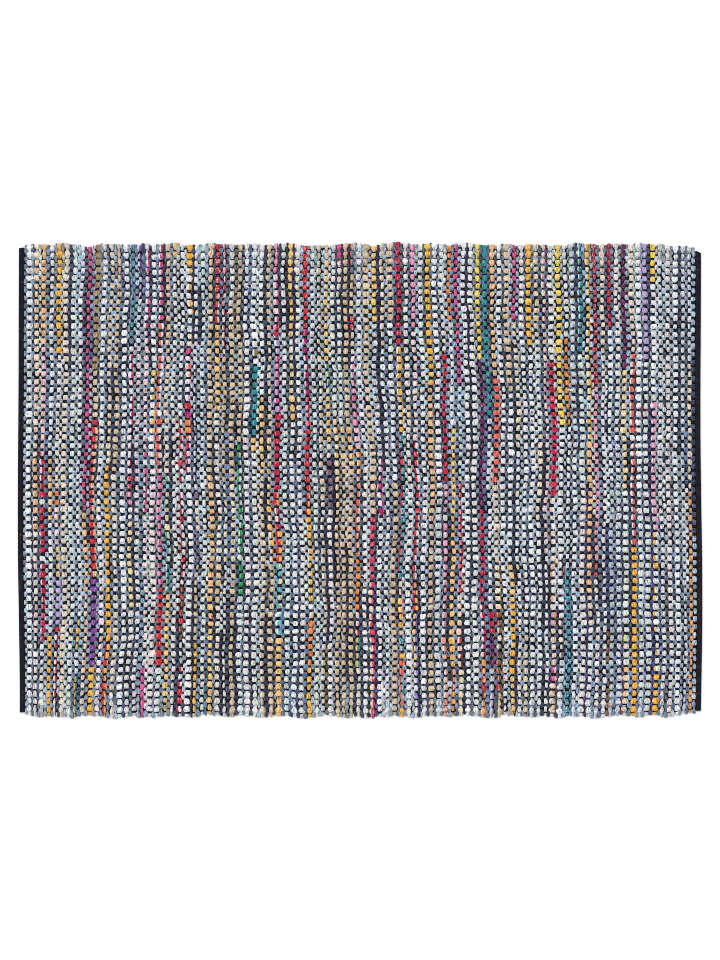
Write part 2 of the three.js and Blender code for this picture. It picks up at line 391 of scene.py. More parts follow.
DARK_RAGS = {
    0: "mid_denim 27, light_denim",
    18: "any 18, blue_denim 30",
    20: "any 30, dark_denim 60",
    24: "any 30, dark_denim 60",
    30: "any 50, navy_denim 62",
    32: "blue_denim 15",
    38: "navy_denim 25, mid_denim 45, navy_denim 56",
    40: "any 68, navy_denim 80, grey_denim",
    42: "faded_denim 20",
    44: "faded_denim 18",
    46: "navy_denim 24, any 85, navy_denim",
    48: "light_denim 10, dark_denim 24, any 85, blue_denim",
    50: "light_denim 20, mid_denim 30, any 88, blue_denim",
    52: "dark_denim 24, any 48, dark_denim 62, slate_denim 84, dark_denim 103, mid_denim",
    54: "blue_denim 20, any 60, slate_denim 84, any 97, navy_denim",
    56: "slate_denim 40, blue_denim 80, any 88, dark_denim",
    58: "olive_grey 23, mid_denim 38, dark_denim 56, any 92, navy_denim",
    60: "dark_denim 24, any 44, navy_denim 88, blue_denim",
    62: "blue_denim 30, dark_denim 46, any 60, blue_denim 90, dark_denim",
    66: "any 58, navy_denim 72, any 92, navy_denim",
    68: "mid_denim 20, any 90, dark_denim",
    70: "dark_denim 20, any 88, blue_denim",
    72: "navy_denim 22, any 80, blue_denim",
    74: "navy_denim 22, any 54, blue_denim 90, dark_denim",
    76: "light_denim 30",
    78: "light_denim 30",
    80: "light_denim 30, any 54, slate_denim 74, dark_denim 88",
    82: "any 56, slate_denim 70, navy_denim 100, olive",
    84: "faded_denim 30, any 53, navy_denim 85",
    86: "dark_denim 26, any 80, mid_denim",
    88: "navy_denim 30",
    90: "navy_denim 30, any 92, dark_denim",
    92: "any 86, dark_denim",
    94: "any 84, dark_denim",
    96: "any 84, royal_denim",
    108: "any 83, navy_denim",
    110: "any 90, dark_denim",
    112: "any 79, slate_denim",
    114: "any 79, mid_denim",
    118: "any 92, mid_denim",
    120: "any 92, navy_denim",
    122: "any 90, slate_denim",
    124: "any 79, mid_denim",
    126: "any 79, blue_denim",
    128: "any 79, slate_denim",
    130: "any 80, olive_grey",
    134: "any 79, navy_denim 84, any 98, navy_denim",
    136: "any 79, mid_denim",
    140: "any 79, slate_denim",
    142: "any 97, dark_denim 107, navy_denim",
    144: "any 80, navy_denim 97, slate_denim 106, navy_denim",
    146: "any 90, dark_denim",
    148: "any 79, blue_denim",
    150: "any 79, blue_denim",
    152: "any 79, mid_denim",
    154: "any 60, royal_denim",
    158: "any 79, slate_denim",
    160: "any 70, royal_denim 87, any 96, brown 105, any 108, brown",
    166: "any 74, navy_denim 100, mid_denim",
    170: "any 79, mid_denim",
    172: "any 40, royal_denim",
    174: "any 79, blue_denim",
    176: "any 80, slate_denim",
    180: "any 80, mid_denim",
}
# Where one rag is laid over the next, its end is a lump: the pick and bundle, and the cloth
LUMPS = [
    (9, 6, "marigold"), (9, 26, "marigold"), (18, 27, "blue_denim"), (19, 24, "khaki"), (19, 26, "khaki"),
    (18, 67, "grey_denim"), (23, 98, "marigold"), (45, 26, "fuchsia"), (45, 62, "white"),
    (47, 62, "mauve"), (53, 28, "apricot"), (63, 50, "apricot"), (67, 70, "marigold"), (69, 22, "crimson"),
    (77, 94, "orange"), (97, 66, "magenta"), (145, 116, "peach"),
]
# Rags cut wider or narrower than the rest, by pick
CUT_WIDTHS = {
    43: 0.84, 51: 0.88, 55: 0.84, 59: 1.14, 75: 1.16, 81: 0.84, 83: 1.16, 85: 0.8, 87: 1.14, 89: 0.84,
    93: 1.12, 111: 0.84, 117: 1.2, 133: 1.22, 149: 0.82, 167: 0.92, 169: 1.2, 173: 1.14,
}
SHORT_RAG = 18  # how many bundles the shortest rag that chance picks crosses
LONG_RAG = 62
SIDE_CHANCE = 0.3  # of a rag having another cloth along one side
TURNED_SHARE = 0.06  # of the ovals show a rag's other side

# The two kinds of rags. A section through a rag goes from its left edge over the top, in shares of half its
# width, and its last point is the middle of its underside. The chances are weights of the cloths.
RAG_KINDS = {
    "denim_rags": {
        "first_pick": 0,
        "section": (-1.0, -0.6, 0.0, 0.6, 1.0),
        "fullness": 0.9,  # how wide an oval's ends are
        "dip": 0.05,  # how much lower an oval is, as a share
        "shading": 0.3,  # how much the ovals differ in brightness
        "rags": DARK_RAGS,
        "chances": {
            "light_denim": 20, "faded_denim": 10, "mid_denim": 22, "blue_denim": 15, "grey_denim": 11,
            "slate_denim": 11, "dark_denim": 9, "navy_denim": 2,
        },
        "sides": ["faded_denim", "light_denim", "mid_denim", "dark_denim", "grey_denim"],
        "slot": "denim_rag",
    },
    "cotton_rags": {
        "first_pick": 1,
        "section": (-1.0, -0.74, -0.27, 0.27, 0.74, 1.0),
        "fullness": 1.5,
        "dip": 0.0,
        "shading": 0.08,
        "rags": BRIGHT_RAGS,
        "chances": {
            "white": 26, "off_white": 15, "cream": 9, "pale_green": 13, "pale_blue": 9, "pinkish": 5,
            "silver": 6, "grey_leaf": 10, "blue_scroll": 6, "tan_lines": 1, "pale_pink": 1,
        },
        "sides": ["white", "off_white", "grey_leaf", "cream"],
        "slot": "cotton_rag",
    },
}
# Weights of the cloths in what is loose
LOOSE_COLOURS = {
    "white": 34, "faded_denim": 18, "grey_denim": 12, "navy_denim": 8, "butter": 5, "marigold": 3, "pink": 3,
    "crimson": 2, "teal": 1, "off_white": 14,
}
TANGLE_COLOURS = {"grey_denim": 8, "faded_denim": 8, "white": 5, "mid_denim": 2, "marigold": 1, "coral": 1}
LINT_COLOURS = {"white": 6, "pale_pink": 2, "light_denim": 1}
# How those yarns lie. Sizes are in millimetres and angles in radians, and a range is given by its two ends.
THREAD = {
    "points": 26, "bend": 0.34, "stiffness": 0.55, "curl": 0.16, "stride": (1.1, 3.0), "off_tapes": 20,
    "off_selvedges": 34, "sag": 0.4, "sunk_ends": 0.9, "girth": (0.7, 1.15),
}
TANGLE = {
    "points": 14, "yarns": 8, "scatter_x": 2.5, "scatter_y": 4.5, "bend": 0.55, "curl": 0.5,
    "stride": (0.9, 2.2), "off_tapes": 40, "off_selvedges": 50, "sag": 0.3, "rise": (0.1, 1.0),
    "girth": (0.6, 1.1),
}
FRAY = {
    "points": 3, "yarns": 5, "out": 4.6, "along": 5.5, "fan": 0.55, "bend": 0.5, "reach": (2.5, 7.5),
    "sunk_root": 0.8,
}
LINT = {"bend": 0.7, "stride": (0.5, 2.0), "inset": 3, "rise": 0.15, "radius": 0.28}
# Ends of rags: the lumps, the ones that stick out, and how wide each is along it
LUMP = {"fan": 0.35, "reach": (14, 19), "width": (6.0, 7.4), "away": 0.4, "rise": 0.6}
FLAP = {"fan": 0.8, "reach": (5, 11), "width": (1.6, 3.4), "away": 2.5, "rise": 0.2}
END_FORM = (0.8, 1.0, 0.92, 0.7, 0.3)
# Weights of the cloths of those ends
DENIM_ENDS = {"light_denim": 16, "mid_denim": 14, "dark_denim": 10, "faded_denim": 12, "blue_denim": 8}
COTTON_ENDS = {"white": 20, "off_white": 12, "cream": 8, "tan": 4, "marigold": 3, "crimson": 2, "coral": 1}

DENIM_WHITE = screen_colour(213, 223, 228)  # the undyed yarn
# From one yarn or printed line to the next, in millimetres
TWILL_PITCH = 1.15
COTTON_PITCH = 0.9
LINE_PITCH = 4.2
WARP_PITCH = 1.35
TAPE_PITCH = 1.1
TWIST_PITCH = 1.6
# Depth of the relief on each material
FOLD_RELIEF = 3 * MM
YARN_RELIEF = 0.35 * MM
TWIST_RELIEF = 0.15 * MM


# What a user would change


def length(name, description, default):
    return FloatProperty(name=name, description=description, default=default, min=0, unit="LENGTH")


def number(name, description, default, least=0):
    return IntProperty(name=name, description=description, default=default, min=least)


class RugWeave(bpy.types.PropertyGroup):
    """How the rug is woven"""

    picks: number("Picks", "Rags beaten in side by side", 185, 9)
    bundles: number("Bundles", "Warp bundles across the rug", 118, 4)
    cotton_width: length("Cotton width", "Width of a gathered cotton rag on top", 14.2 * MM)
    denim_width: length("Denim width", "Width of a gathered denim rag on top", 13.0 * MM)
    warp_width: length("Warp width", "Width of a bundle where it shows", 10.4 * MM)
    warp_top: length("Warp top", "Height of a bundle where it shows", 6.0 * MM)
    warp_low: length("Warp low", "Height of a bundle under a rag", 2.2 * MM)
    selvedge_gap: length("Selvedge gap", "From the outermost bundle to the selvedge", 3.5 * MM)
    unevenness: FloatProperty(
        name="Unevenness", description="How much the ovals differ", default=1.0, min=0, subtype="FACTOR"
    )
    seed: number("Seed", "Chance that picks the rags and their places", 7)


class RugLooseEnds(bpy.types.PropertyGroup):
    """What stands out of the weave"""

    threads: number("Threads", "Long loose threads", 120)
    tangles: number("Tangles", "Tangles of frayed yarn", 34)
    frays: number("Frays", "Frayed edges that stick out", 420)
    flaps: number("Flaps", "Folded ends of rags that stick out", 130)
    lint: number("Lint", "Specks of lint on the two tapes", 44)
    thread_width: length("Thread width", "Thickness of a loose thread", 0.75 * MM)
    fray_width: length("Fray width", "Thickness of a frayed yarn", 0.6 * MM)


class RugColours(bpy.types.PropertyGroup):
    """Colours of the cloths by name, and of the black yarns and the floor"""

    __annotations__ = {
        name: FloatVectorProperty(
            name=name.replace("_", " ").capitalize(),
            description="Plain colour of what has this name",
            default=screen_colour(*shade),
            subtype="COLOR",
            min=0,
            max=1,
        )
        for name, shade in (CLOTHS | PLAIN_COLOURS).items()
    }


class RugStage(bpy.types.PropertyGroup):
    """Floor, light and camera"""

    lens: FloatProperty(name="Lens", description="Focal length in millimetres", default=85, min=20)
    view_height: length(
        "View height", "Length of floor from the top of the picture to its foot", PHOTO_HEIGHT * PHOTO_PIXEL
    )
    sky: FloatProperty(name="Sky", description="Strength of the even light", default=0.75, min=0)
    lamp: FloatProperty(name="Lamp", description="Strength of the soft lamp", default=1.6, min=0)


# Chance


def spread(rng, trait, size):
    """Chance values of a trait, about nought."""
    sigma, least, most = SPREADS[trait]
    return rng.normal(0, sigma, size).clip(least, most)


def slow_chance(rng, ovals, knots):
    """Chance values for rags by ovals that change slowly along each rag."""
    values = spread(rng, "slow", (ovals[0], knots))
    places = np.linspace(0, knots - 1, ovals[1])
    return np.array([np.interp(places, np.arange(knots), row) for row in values])


def pick_cloths(rng, chances, count=None):
    """Names of cloths picked by chance, where chances has a weight for each name."""
    weights = np.array(list(chances.values()))
    return rng.choice(list(chances), count, p=weights / weights.sum())


# How the even weave lies once it is off the loom


def pick_edges(picks):
    """Where each pick begins, from one tape to the other, and where the last one ends."""
    pick = np.arange(picks)
    share = 1 + np.where(pick % 2 == 1, PLUMPNESS, -PLUMPNESS)
    for wave in PICK_WAVES:
        share = share + wave["reach"] * np.sin(wave["turn"] * pick + wave["start"])
    sums = np.concatenate(([0.0], np.cumsum(share)))
    return PANEL_HALF * (2 * sums / sums[-1] - 1)


def beaten_edges(weave):
    """The picks' edges with what uneven beating adds, which the solids leave out."""
    edges = pick_edges(weave.picks)
    rng = np.random.default_rng(weave.seed + SEEDS["beating"])
    edges[1:-1] += weave.unevenness * spread(rng, "beating", weave.picks - 1) * MM
    return edges


def waves(kinds, x, y):
    return sum(
        kind["reach"] * np.sin(TURN * (y / kind["across"] + x / kind["along"]) + kind["start"])
        for kind in kinds
    )


def wander(x, y):
    calm = 1 - END_CALM * np.abs(x / HALF_LENGTH) ** END_HOLD
    return calm * waves(WANDERS, x, y)


def lean(x, y):
    return sum(
        place["reach"] * np.exp(
            -(((x / HALF_LENGTH - place["x"]) / place["wide"]) ** 2)
            - ((y / HALF_WIDTH - place["y"]) / place["high"]) ** 2
        )
        for place in LEANS
    )


def selvedge_wave(x, side):
    wave_in = sum(
        wave["reach"] * np.sin(TURN * x / wave["along"] + wave["start"] + wave["lag"] * side)
        for wave in SCALLOPS
    )
    for corner in CORNERS:
        drawn = corner["drawn_in"] * np.exp((corner["end"] * x - HALF_LENGTH) / CORNER_FADE)
        wave_in = wave_in - np.where(side == corner["side"], drawn, 0.0)
    return wave_in


def hold(place, reach, power):
    """1 in the middle of the rug, falling to 0 at its edge, late where power is high."""
    return np.clip(1 - np.abs(place / reach) ** power, 0, 1)


class Layout:
    """Where the picks and bundles are, and how far the selvedges and the ends lie out."""

    def __init__(self, weave):
        even = pick_edges(weave.picks)
        thickness = np.diff(even)
        crests = np.concatenate((even[:-1] + SHOULDER * thickness, even[1:] - SHOULDER * thickness))
        self.edges = beaten_edges(weave)
        self.thickness = np.diff(self.edges)
        self.centres = self.edges[:-1] + self.thickness / 2
        self.pitch = 2 * (HALF_WIDTH - weave.selvedge_gap) / weave.bundles
        self.bundles = HALF_WIDTH - weave.selvedge_gap - self.pitch * (np.arange(weave.bundles) + 0.5)
        self.widest_far = selvedge_wave(crests, 1).max()
        self.widest_near = selvedge_wave(crests, -1).max()
        rows = np.linspace(-HALF_WIDTH, HALF_WIDTH, TAPE_ROWS + 1)
        self.leftmost = wander(-HALF_LENGTH, rows).min()
        self.rightmost = wander(HALF_LENGTH, rows).max()

    def lay(self, points, bulge=0.0):
        """Moves points of the even weave, XYZ in the last place of the array, to where they lie."""
        x, y = points[..., 0], points[..., 1]
        side = np.where(y < 0, -1, 1)
        widest = np.where(side > 0, self.widest_far, self.widest_near)
        inset = widest - selvedge_wave(x, side) + PICK_END_BULGE - bulge
        share = (x / HALF_LENGTH + 1) / 2
        settled = -self.leftmost * (1 - share) - self.rightmost * share
        off_selvedge = hold(y, HALF_WIDTH, SELVEDGE_CROWDING)
        inside = hold(x, PANEL_HALF, TAPE_HOLD) * off_selvedge
        swayed = inside * waves(SWAYS, x, y) + hold(x, PANEL_HALF, LEAN_HOLD) * lean(x, y)
        laid_x = x + wander(x, y) + settled + swayed
        drawn_in = side * inset * np.abs(y / HALF_WIDTH) ** EDGE_PULL
        laid_y = y * (1 + OPEN_MIDDLE * off_selvedge) - drawn_in + inside * waves(RIPPLES, x, y)
        return np.stack((laid_x, laid_y, points[..., 2]), axis=-1)

    def weave_height(self, weave, x, y):
        """Roughly how high the weave stands at a place: the ovals' crowns, and the warp between them."""
        pick = np.clip(np.searchsorted(self.edges, x) - 1, 0, weave.picks - 1)
        bundle = np.clip(np.round((self.bundles[0] - y) / self.pitch), 0, weave.bundles - 1).astype(int)
        over = (pick + bundle) % 2 == 1
        off_x = np.abs(x - self.centres[pick]) / OVAL_HALF_WIDTH
        off_y = np.abs(y - self.bundles[bundle]) / OVAL_HALF_LENGTH
        crown = WEAVE_HEIGHT - (off_x**3 + off_y**3) * OVAL_FALL * MM
        return np.where(over, crown, weave.warp_top + off_x**2 * WARP_SWELL * MM)


class Rug:
    """The rug's settings and layout, and the chance that one group of pieces draws from."""

    def __init__(self, context, group):
        self.weave = context.scene.rug_weave
        self.ends = context.scene.rug_loose_ends
        self.cloths = context.scene.rug_colours
        self.layout = Layout(self.weave)
        self.rng = np.random.default_rng(self.weave.seed + SEEDS[group])

    def colours(self, count, chances):
        """Colours of cloths picked by chance, one in a row."""
        names = pick_cloths(self.rng, chances, count)
        return np.array([tuple(getattr(self.cloths, str(name))) for name in names])

    def height(self, paths):
        return self.layout.weave_height(self.weave, paths[..., 0], paths[..., 1])


# Many tubes in one mesh


def tube_faces(tubes, rings, sides):
    """Corners of the faces of tubes that each end in a point: the quads, then the two fans. Points are
    counted ring by ring within a tube, and its two tips come last."""
    base = np.arange(tubes)[:, None, None] * (rings * sides + 2)
    ring = np.arange(rings - 1)[None, :, None] * sides
    side = np.arange(sides)[None, None, :]
    following = (side + 1) % sides
    here, there = base + ring, base + ring + sides
    quads = np.stack((here + side, here + following, there + following, there + side), axis=-1)
    last = base + (rings - 1) * sides
    tips = base + rings * sides + np.zeros_like(side)
    first_fan = np.stack((tips, base + following, base + side), axis=-1)
    last_fan = np.stack((last + side, last + following, tips + 1), axis=-1)
    return quads, first_fan, last_fan


def tube_mesh(name, rings, tips):
    """One mesh of many tubes. rings holds XYZ for tube, ring and side, and tips for tube and end."""
    tubes, count, sides = rings.shape[:3]
    points = np.concatenate((rings.reshape(tubes, count * sides, 3), tips), axis=1).reshape(-1, 3)
    quads, first_fan, last_fan = tube_faces(tubes, count, sides)
    corners = np.concatenate((quads.ravel(), first_fan.ravel(), last_fan.ravel()))
    quad_count, fans = quads.size // 4, 2 * tubes * sides
    starts = np.concatenate((np.arange(quad_count) * 4, quad_count * 4 + np.arange(fans) * 3))
    mesh = bpy.data.meshes.new(name)
    mesh.vertices.add(len(points))
    mesh.vertices.foreach_set("co", points.astype(np.float32).ravel())
    mesh.loops.add(len(corners))
    mesh.loops.foreach_set("vertex_index", corners.astype(np.int32))
    mesh.polygons.add(len(starts))
    mesh.polygons.foreach_set("loop_start", starts.astype(np.int32))
    mesh.update(calc_edges=True)
    mesh.shade_smooth()
    return mesh


def corner_map(mesh, name, along, left, right, place):
    """Adds a UV map. A face of a tube reaches from along[ring] to the next, and from left[side] to
    right[side]; place turns those, the tube's number and the ring's into U and V."""
    tubes, count = along.shape
    tube = np.arange(tubes)[:, None, None, None]
    ring = np.arange(count - 1)[None, :, None, None]
    side = np.arange(len(left))[None, None, :, None]
    quad_along = along[tube, ring + np.array([0, 0, 1, 1])]
    quad_around = np.where(np.array([False, True, True, False]), right[side], left[side])
    parts = [place(tube, ring, quad_along, quad_around + np.zeros_like(quad_along))]
    middle = (left + right) / 2
    step = np.diff(along, axis=1)
    fan_tube = np.arange(tubes)[:, None, None]
    fan_side = np.zeros((1, len(left), 1), int)
    fans = [(0, (-1, 0, 0), (middle, right, left)), (count - 2, (0, 0, 1), (left, right, middle))]
    for at_ring, outward, corners in fans:
        base = along[:, 0] if at_ring == 0 else along[:, -1]
        tip = base[fan_tube] + np.array(outward) * TIP_SHARE * step[fan_tube, at_ring] + 0.0 * fan_side
        around = np.stack(corners, axis=-1)[None, :, :] + 0.0 * fan_tube
        parts.append(place(fan_tube, fan_side + at_ring, tip, around))
    values = np.concatenate([part.reshape(-1, 2) for part in parts])
    layer = mesh.uv_layers.new(name=name)
    layer.data.foreach_set("uv", values.astype(np.float32).ravel())


def strip_map(mesh, along, left, right):
    """A map in millimetres: U across the strip from its middle, and V along it."""

    def place(tube, ring, at, round_it):
        return np.stack(np.broadcast_arrays(round_it, at), axis=-1)

    corner_map(mesh, "strip", along, left, right, place)


def bake_map(mesh, along, around):
    """A map to bake to: each tube's two halves are columns side by side."""
    tubes, count = along.shape
    middle = count // 2
    low, high = along[:, :1], along[:, -1:]
    centre = along[:, middle:middle + 1]
    reach = (high - low) * BAKE_END

    def place(tube, ring, at, round_it):
        second = ring >= middle
        start = np.where(second, centre[tube, 0], low[tube, 0] - reach[tube, 0])
        end = np.where(second, high[tube, 0] + reach[tube, 0], centre[tube, 0])
        column = 2 * tube + second
        u = (column + BAKE_MARGIN + (1 - 2 * BAKE_MARGIN) * round_it) / (2 * tubes)
        v = BAKE_END + (1 - 2 * BAKE_END) * (at - start) / (end - start)
        return np.stack(np.broadcast_arrays(u, v), axis=-1)

    corner_map(mesh, "OFBake", along, around[:-1], around[1:], place)


def yarn_bake_map(mesh, along, around):
    """The same for yarns: each has a tile of its own."""
    columns = math.ceil(math.sqrt(len(along)))
    rows = math.ceil(len(along) / columns)
    step = np.diff(along, axis=1)
    low = along[:, 0] - TIP_SHARE * step[:, 0]
    high = along[:, -1] + TIP_SHARE * step[:, -1]

    def place(tube, ring, at, round_it):
        share = (at - low[tube]) / (high - low)[tube]
        u = (tube % columns + BAKE_MARGIN + (1 - 2 * BAKE_MARGIN) * round_it) / columns
        v = (tube // columns + BAKE_MARGIN + (1 - 2 * BAKE_MARGIN) * share) / rows
        return np.stack(np.broadcast_arrays(u, v), axis=-1)

    corner_map(mesh, "OFBake", along, around[:-1], around[1:], place)


def point_values(values, sides):
    """Values for tube and ring, given to every point of the ring and to the tips."""
    rings = np.repeat(values, sides, axis=1)
    return np.concatenate((rings, values[:, :1], values[:, -1:]), axis=1).reshape(-1, values.shape[2])


def add_attribute(mesh, name, kind, values):
    field = {"FLOAT_COLOR": "color", "FLOAT_VECTOR": "vector", "FLOAT": "value"}[kind]
    layer = mesh.attributes.new(name, kind, "POINT")
    layer.data.foreach_set(field, np.ascontiguousarray(values, dtype=np.float32).ravel())


def place_piece(mesh, material, slot, replaces=()):
    """Makes a mesh a piece of the rug."""
    mesh.materials.append(material)
    piece = bpy.data.objects.new(mesh.name, mesh)
    bpy.context.scene.collection.objects.link(piece)
    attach(piece, "root")
    if replaces:
        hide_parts(*replaces)
    return piece


# Materials


class Number:
    """A number socket that can stand in sums: an expression adds its Math nodes."""

    def __init__(self, finish, socket):
        self.finish = finish
        self.socket = socket

    def math(self, operation, *values):
        return self.finish.number("ShaderNodeMath", {"operation": operation}, dict(enumerate(values)))

    def __add__(self, other):
        return self.math("ADD", self, other)

    def __radd__(self, other):
        return self.math("ADD", other, self)

    def __sub__(self, other):
        return self.math("SUBTRACT", self, other)

    def __rsub__(self, other):
        return self.math("SUBTRACT", other, self)

    def __mul__(self, other):
        return self.math("MULTIPLY", self, other)

    def __rmul__(self, other):
        return self.math("MULTIPLY", other, self)

    def __truediv__(self, other):
        return self.math("DIVIDE", self, other)

    def __abs__(self):
        return self.math("ABSOLUTE", self)

    def sine(self):
        return self.math("SINE", self)

    def wave(self, pitch):
        """A wave from 0 to 1 that comes back after each pitch."""
        return (self * (TURN / pitch)).sine() * 0.5 + 0.5

    def cap(self):
        return self.math("MINIMUM", self.math("MAXIMUM", self, 0.0), 1.0)

    def step(self, start, end):
        """0 below start, 1 above end, and smooth between; the other way round where start is above end."""
        settings = {"interpolation_type": "SMOOTHSTEP"}
        sockets = {"Value": self, "From Min": start, "From Max": end}
        return self.finish.number("ShaderNodeMapRange", settings, sockets)


class Finish:
    """A material as it is built, with one method for any node."""

    def __init__(self, name):
        self.material = bpy.data.materials.new(name)
        self.material.use_nodes = True
        self.tree = self.material.node_tree
        self.shader = self.tree.nodes["Principled BSDF"]

    def node(self, kind, settings=None, sockets=None):
        node = self.tree.nodes.new(kind)
        for setting, value in (settings or {}).items():
            setattr(node, setting, value)
        for key, value in (sockets or {}).items():
            self.connect(node, key, value)
        return node

    def connect(self, node, key, value):
        socket = node.inputs[key] if isinstance(key, int) else find_socket(node.inputs, key)
        if isinstance(value, Number):
            value = value.socket
        if isinstance(value, bpy.types.NodeSocket):
            self.tree.links.new(value, socket)
        else:
            socket.default_value = value

    def number(self, kind, settings=None, sockets=None):
        return Number(self, self.node(kind, settings, sockets).outputs[0])

    def strip(self):
        return self.node("ShaderNodeUVMap", {"uv_map": "strip"}).outputs[0]

    def attribute(self, name, output="Color"):
        return find_socket(self.node("ShaderNodeAttribute", {"attribute_name": name}).outputs, output)

    def parts(self, vector):
        split = self.node("ShaderNodeSeparateXYZ", None, {"Vector": vector})
        return [Number(self, socket) for socket in split.outputs]

    def vector(self, x, y, z=0.0):
        return self.node("ShaderNodeCombineXYZ", None, {"X": x, "Y": y, "Z": z}).outputs[0]

    def move(self, vector, by):
        return self.node("ShaderNodeVectorMath", {"operation": "ADD"}, {0: vector, 1: by}).outputs[0]

    def mix(self, first, second, share, blend="MIX"):
        settings = {"data_type": "RGBA", "blend_type": blend}
        sockets = {"Factor_Float": share, "A_Color": colour(first), "B_Color": colour(second)}
        node = self.node("ShaderNodeMix", settings, sockets)
        return find_socket(node.outputs, "Result_Color")

    def noise(self, vector, scale, detail=2.0, roughness=0.5):
        sockets = {"Vector": vector, "Scale": scale, "Detail": detail, "Roughness": roughness}
        return self.number("ShaderNodeTexNoise", {"noise_dimensions": "2D"}, sockets)

    def cells(self, vector, scale, feature="F1"):
        settings = {"voronoi_dimensions": "2D", "feature": feature}
        return self.number("ShaderNodeTexVoronoi", settings, {"Vector": vector, "Scale": scale})

    def finish(self, colour_socket, height, depth, roughness, sheen, shine=0.1):
        """Puts the colour and the relief on the shader. depth is what a height of 1 stands for, in metres."""
        bump = self.node("ShaderNodeBump", None, {"Height": height, "Distance": depth, "Strength": 1.0})
        for key, value in {
            "Base Color": colour_socket, "Normal": bump.outputs[0], "Roughness": roughness,
            "Specular IOR Level": shine, "Sheen Weight": sheen, "Sheen Roughness": 0.6,
        }.items():
            self.connect(self.shader, key, value)
        return self.material


def find_socket(sockets, key):
    return next(socket for socket in sockets if key in (socket.identifier, socket.name))


def colour(value):
    """A colour with the fourth number that a colour socket wants."""
    return (*value, 1.0) if isinstance(value, (tuple, list)) else value


def cloth_places(finish):
    """Where a point is on its cloth: across the strip as a share of half its width, then along the strip and
    over the whole cloth in millimetres."""
    strip = finish.strip()
    across, along, _ = finish.parts(strip)
    whole = finish.move(strip, finish.attribute("start", "Vector"))
    return across / CLOTH_HALF_WIDTH, along, whole


def gathers(finish, across, along):
    """The gathers of a rag: its broad folds, the fine ones, and the sharp creases between, which are 1 in a
    crease and 0 beside it."""
    start_x, start_y, _ = finish.parts(finish.attribute("start", "Vector"))
    stretched = finish.vector(across * 2.2 + start_x, along * 0.07 + start_y)
    folds = finish.noise(stretched, 1.0, 2.0, 0.55)
    fine = finish.noise(finish.vector(across * 6.0 + start_y, along * 0.13 + start_x), 1.0, 2.0)
    bent = finish.vector(across * 1.5 + start_y, along * 0.021 + start_x)
    crease = abs(finish.noise(bent, 1.0, 2.0, 0.35) - 0.5).step(0.03, 0.005)
    short = finish.noise(finish.vector(across * 1.2 + start_x, along * 0.09 + start_y), 1.0, 1.0)
    return folds, fine, crease * short.step(0.38, 0.55)


def side_cloth(finish, across, along):
    """Where the second cloth of a rag shows, and the frayed line between the two."""
    edge = finish.attribute("side_start", "Fac")
    waver = finish.noise(finish.vector(along, 0.0), 0.16, 2.0)
    past = across - (Number(finish, edge) + (waver - 0.5) * 0.5)
    return past.step(-0.06, 0.06), 1 - abs(past).step(0.03, 0.2)


def denim_material():
    """Twill of dyed and white yarn, faded on its folds, with painted shade in their hollows and its creases,
    and a white frayed line along its cut edge.
    """
    finish = Finish("washed_denim")
    across, along, whole = cloth_places(finish)
    cloth_x, cloth_y, _ = finish.parts(whole)
    folds, fine, crease = gathers(finish, across, along)
    side, fray_line = side_cloth(finish, across, along)
    twill = (cloth_x * 0.66 + cloth_y * 0.75).wave(TWILL_PITCH)
    slub = finish.noise(whole, 1.6, 3.0, 0.7)
    fading = finish.noise(whole, 0.11, 3.0, 0.6)
    worn = (folds.step(0.46, 0.62) * 0.75 + fading.step(0.35, 0.65) * 0.4 + (fine - 0.5) * 0.5).cap()
    ground = finish.mix(finish.attribute("cloth"), finish.attribute("side"), side)
    dark = finish.mix(ground, (0.42, 0.54, 0.71), 1.0, "MULTIPLY")
    dyed = finish.mix(ground, (1.5, 1.4, 1.28), 1.0, "MULTIPLY")
    red, green, blue = finish.parts(ground)
    washed = (red + green + blue).step(0.0, 0.75)
    pale = finish.mix(dyed, DENIM_WHITE, washed * 0.28)
    yarns = finish.mix(dark, pale, (twill * 0.95 + slub * 0.5 - 0.27).cap())
    faded = finish.mix(yarns, pale, worn * (twill * 0.55 + 0.58))
    # Painted shade: the hollows of the folds and the creases are darkened in the colour
    fold_shade_mask = (folds.step(0.47, 0.35) * 0.85 + crease * 0.75).cap()
    fold_shaded = finish.mix(faded, (0.2, 0.28, 0.46), fold_shade_mask, "MULTIPLY")
    flank = abs(across).step(0.3, 0.9)
    fluff = finish.noise(whole, 0.34, 3.0, 0.65).step(0.54, 0.64) * (flank * 0.7 + 0.25)
    fraying = (fray_line * finish.noise(whole, 0.9, 2.0).step(0.42, 0.58) * 0.8 + fluff).cap()
    frayed = finish.mix(fold_shaded, DENIM_WHITE, fraying * (washed * 0.5 + 0.5))
    relief = folds * 0.8 + fine * 0.3 - crease * 0.3 + twill * 0.08 + slub * 0.08 + fraying * 0.15
    return finish.finish(frayed, relief, FOLD_RELIEF, 0.93, 0.1)


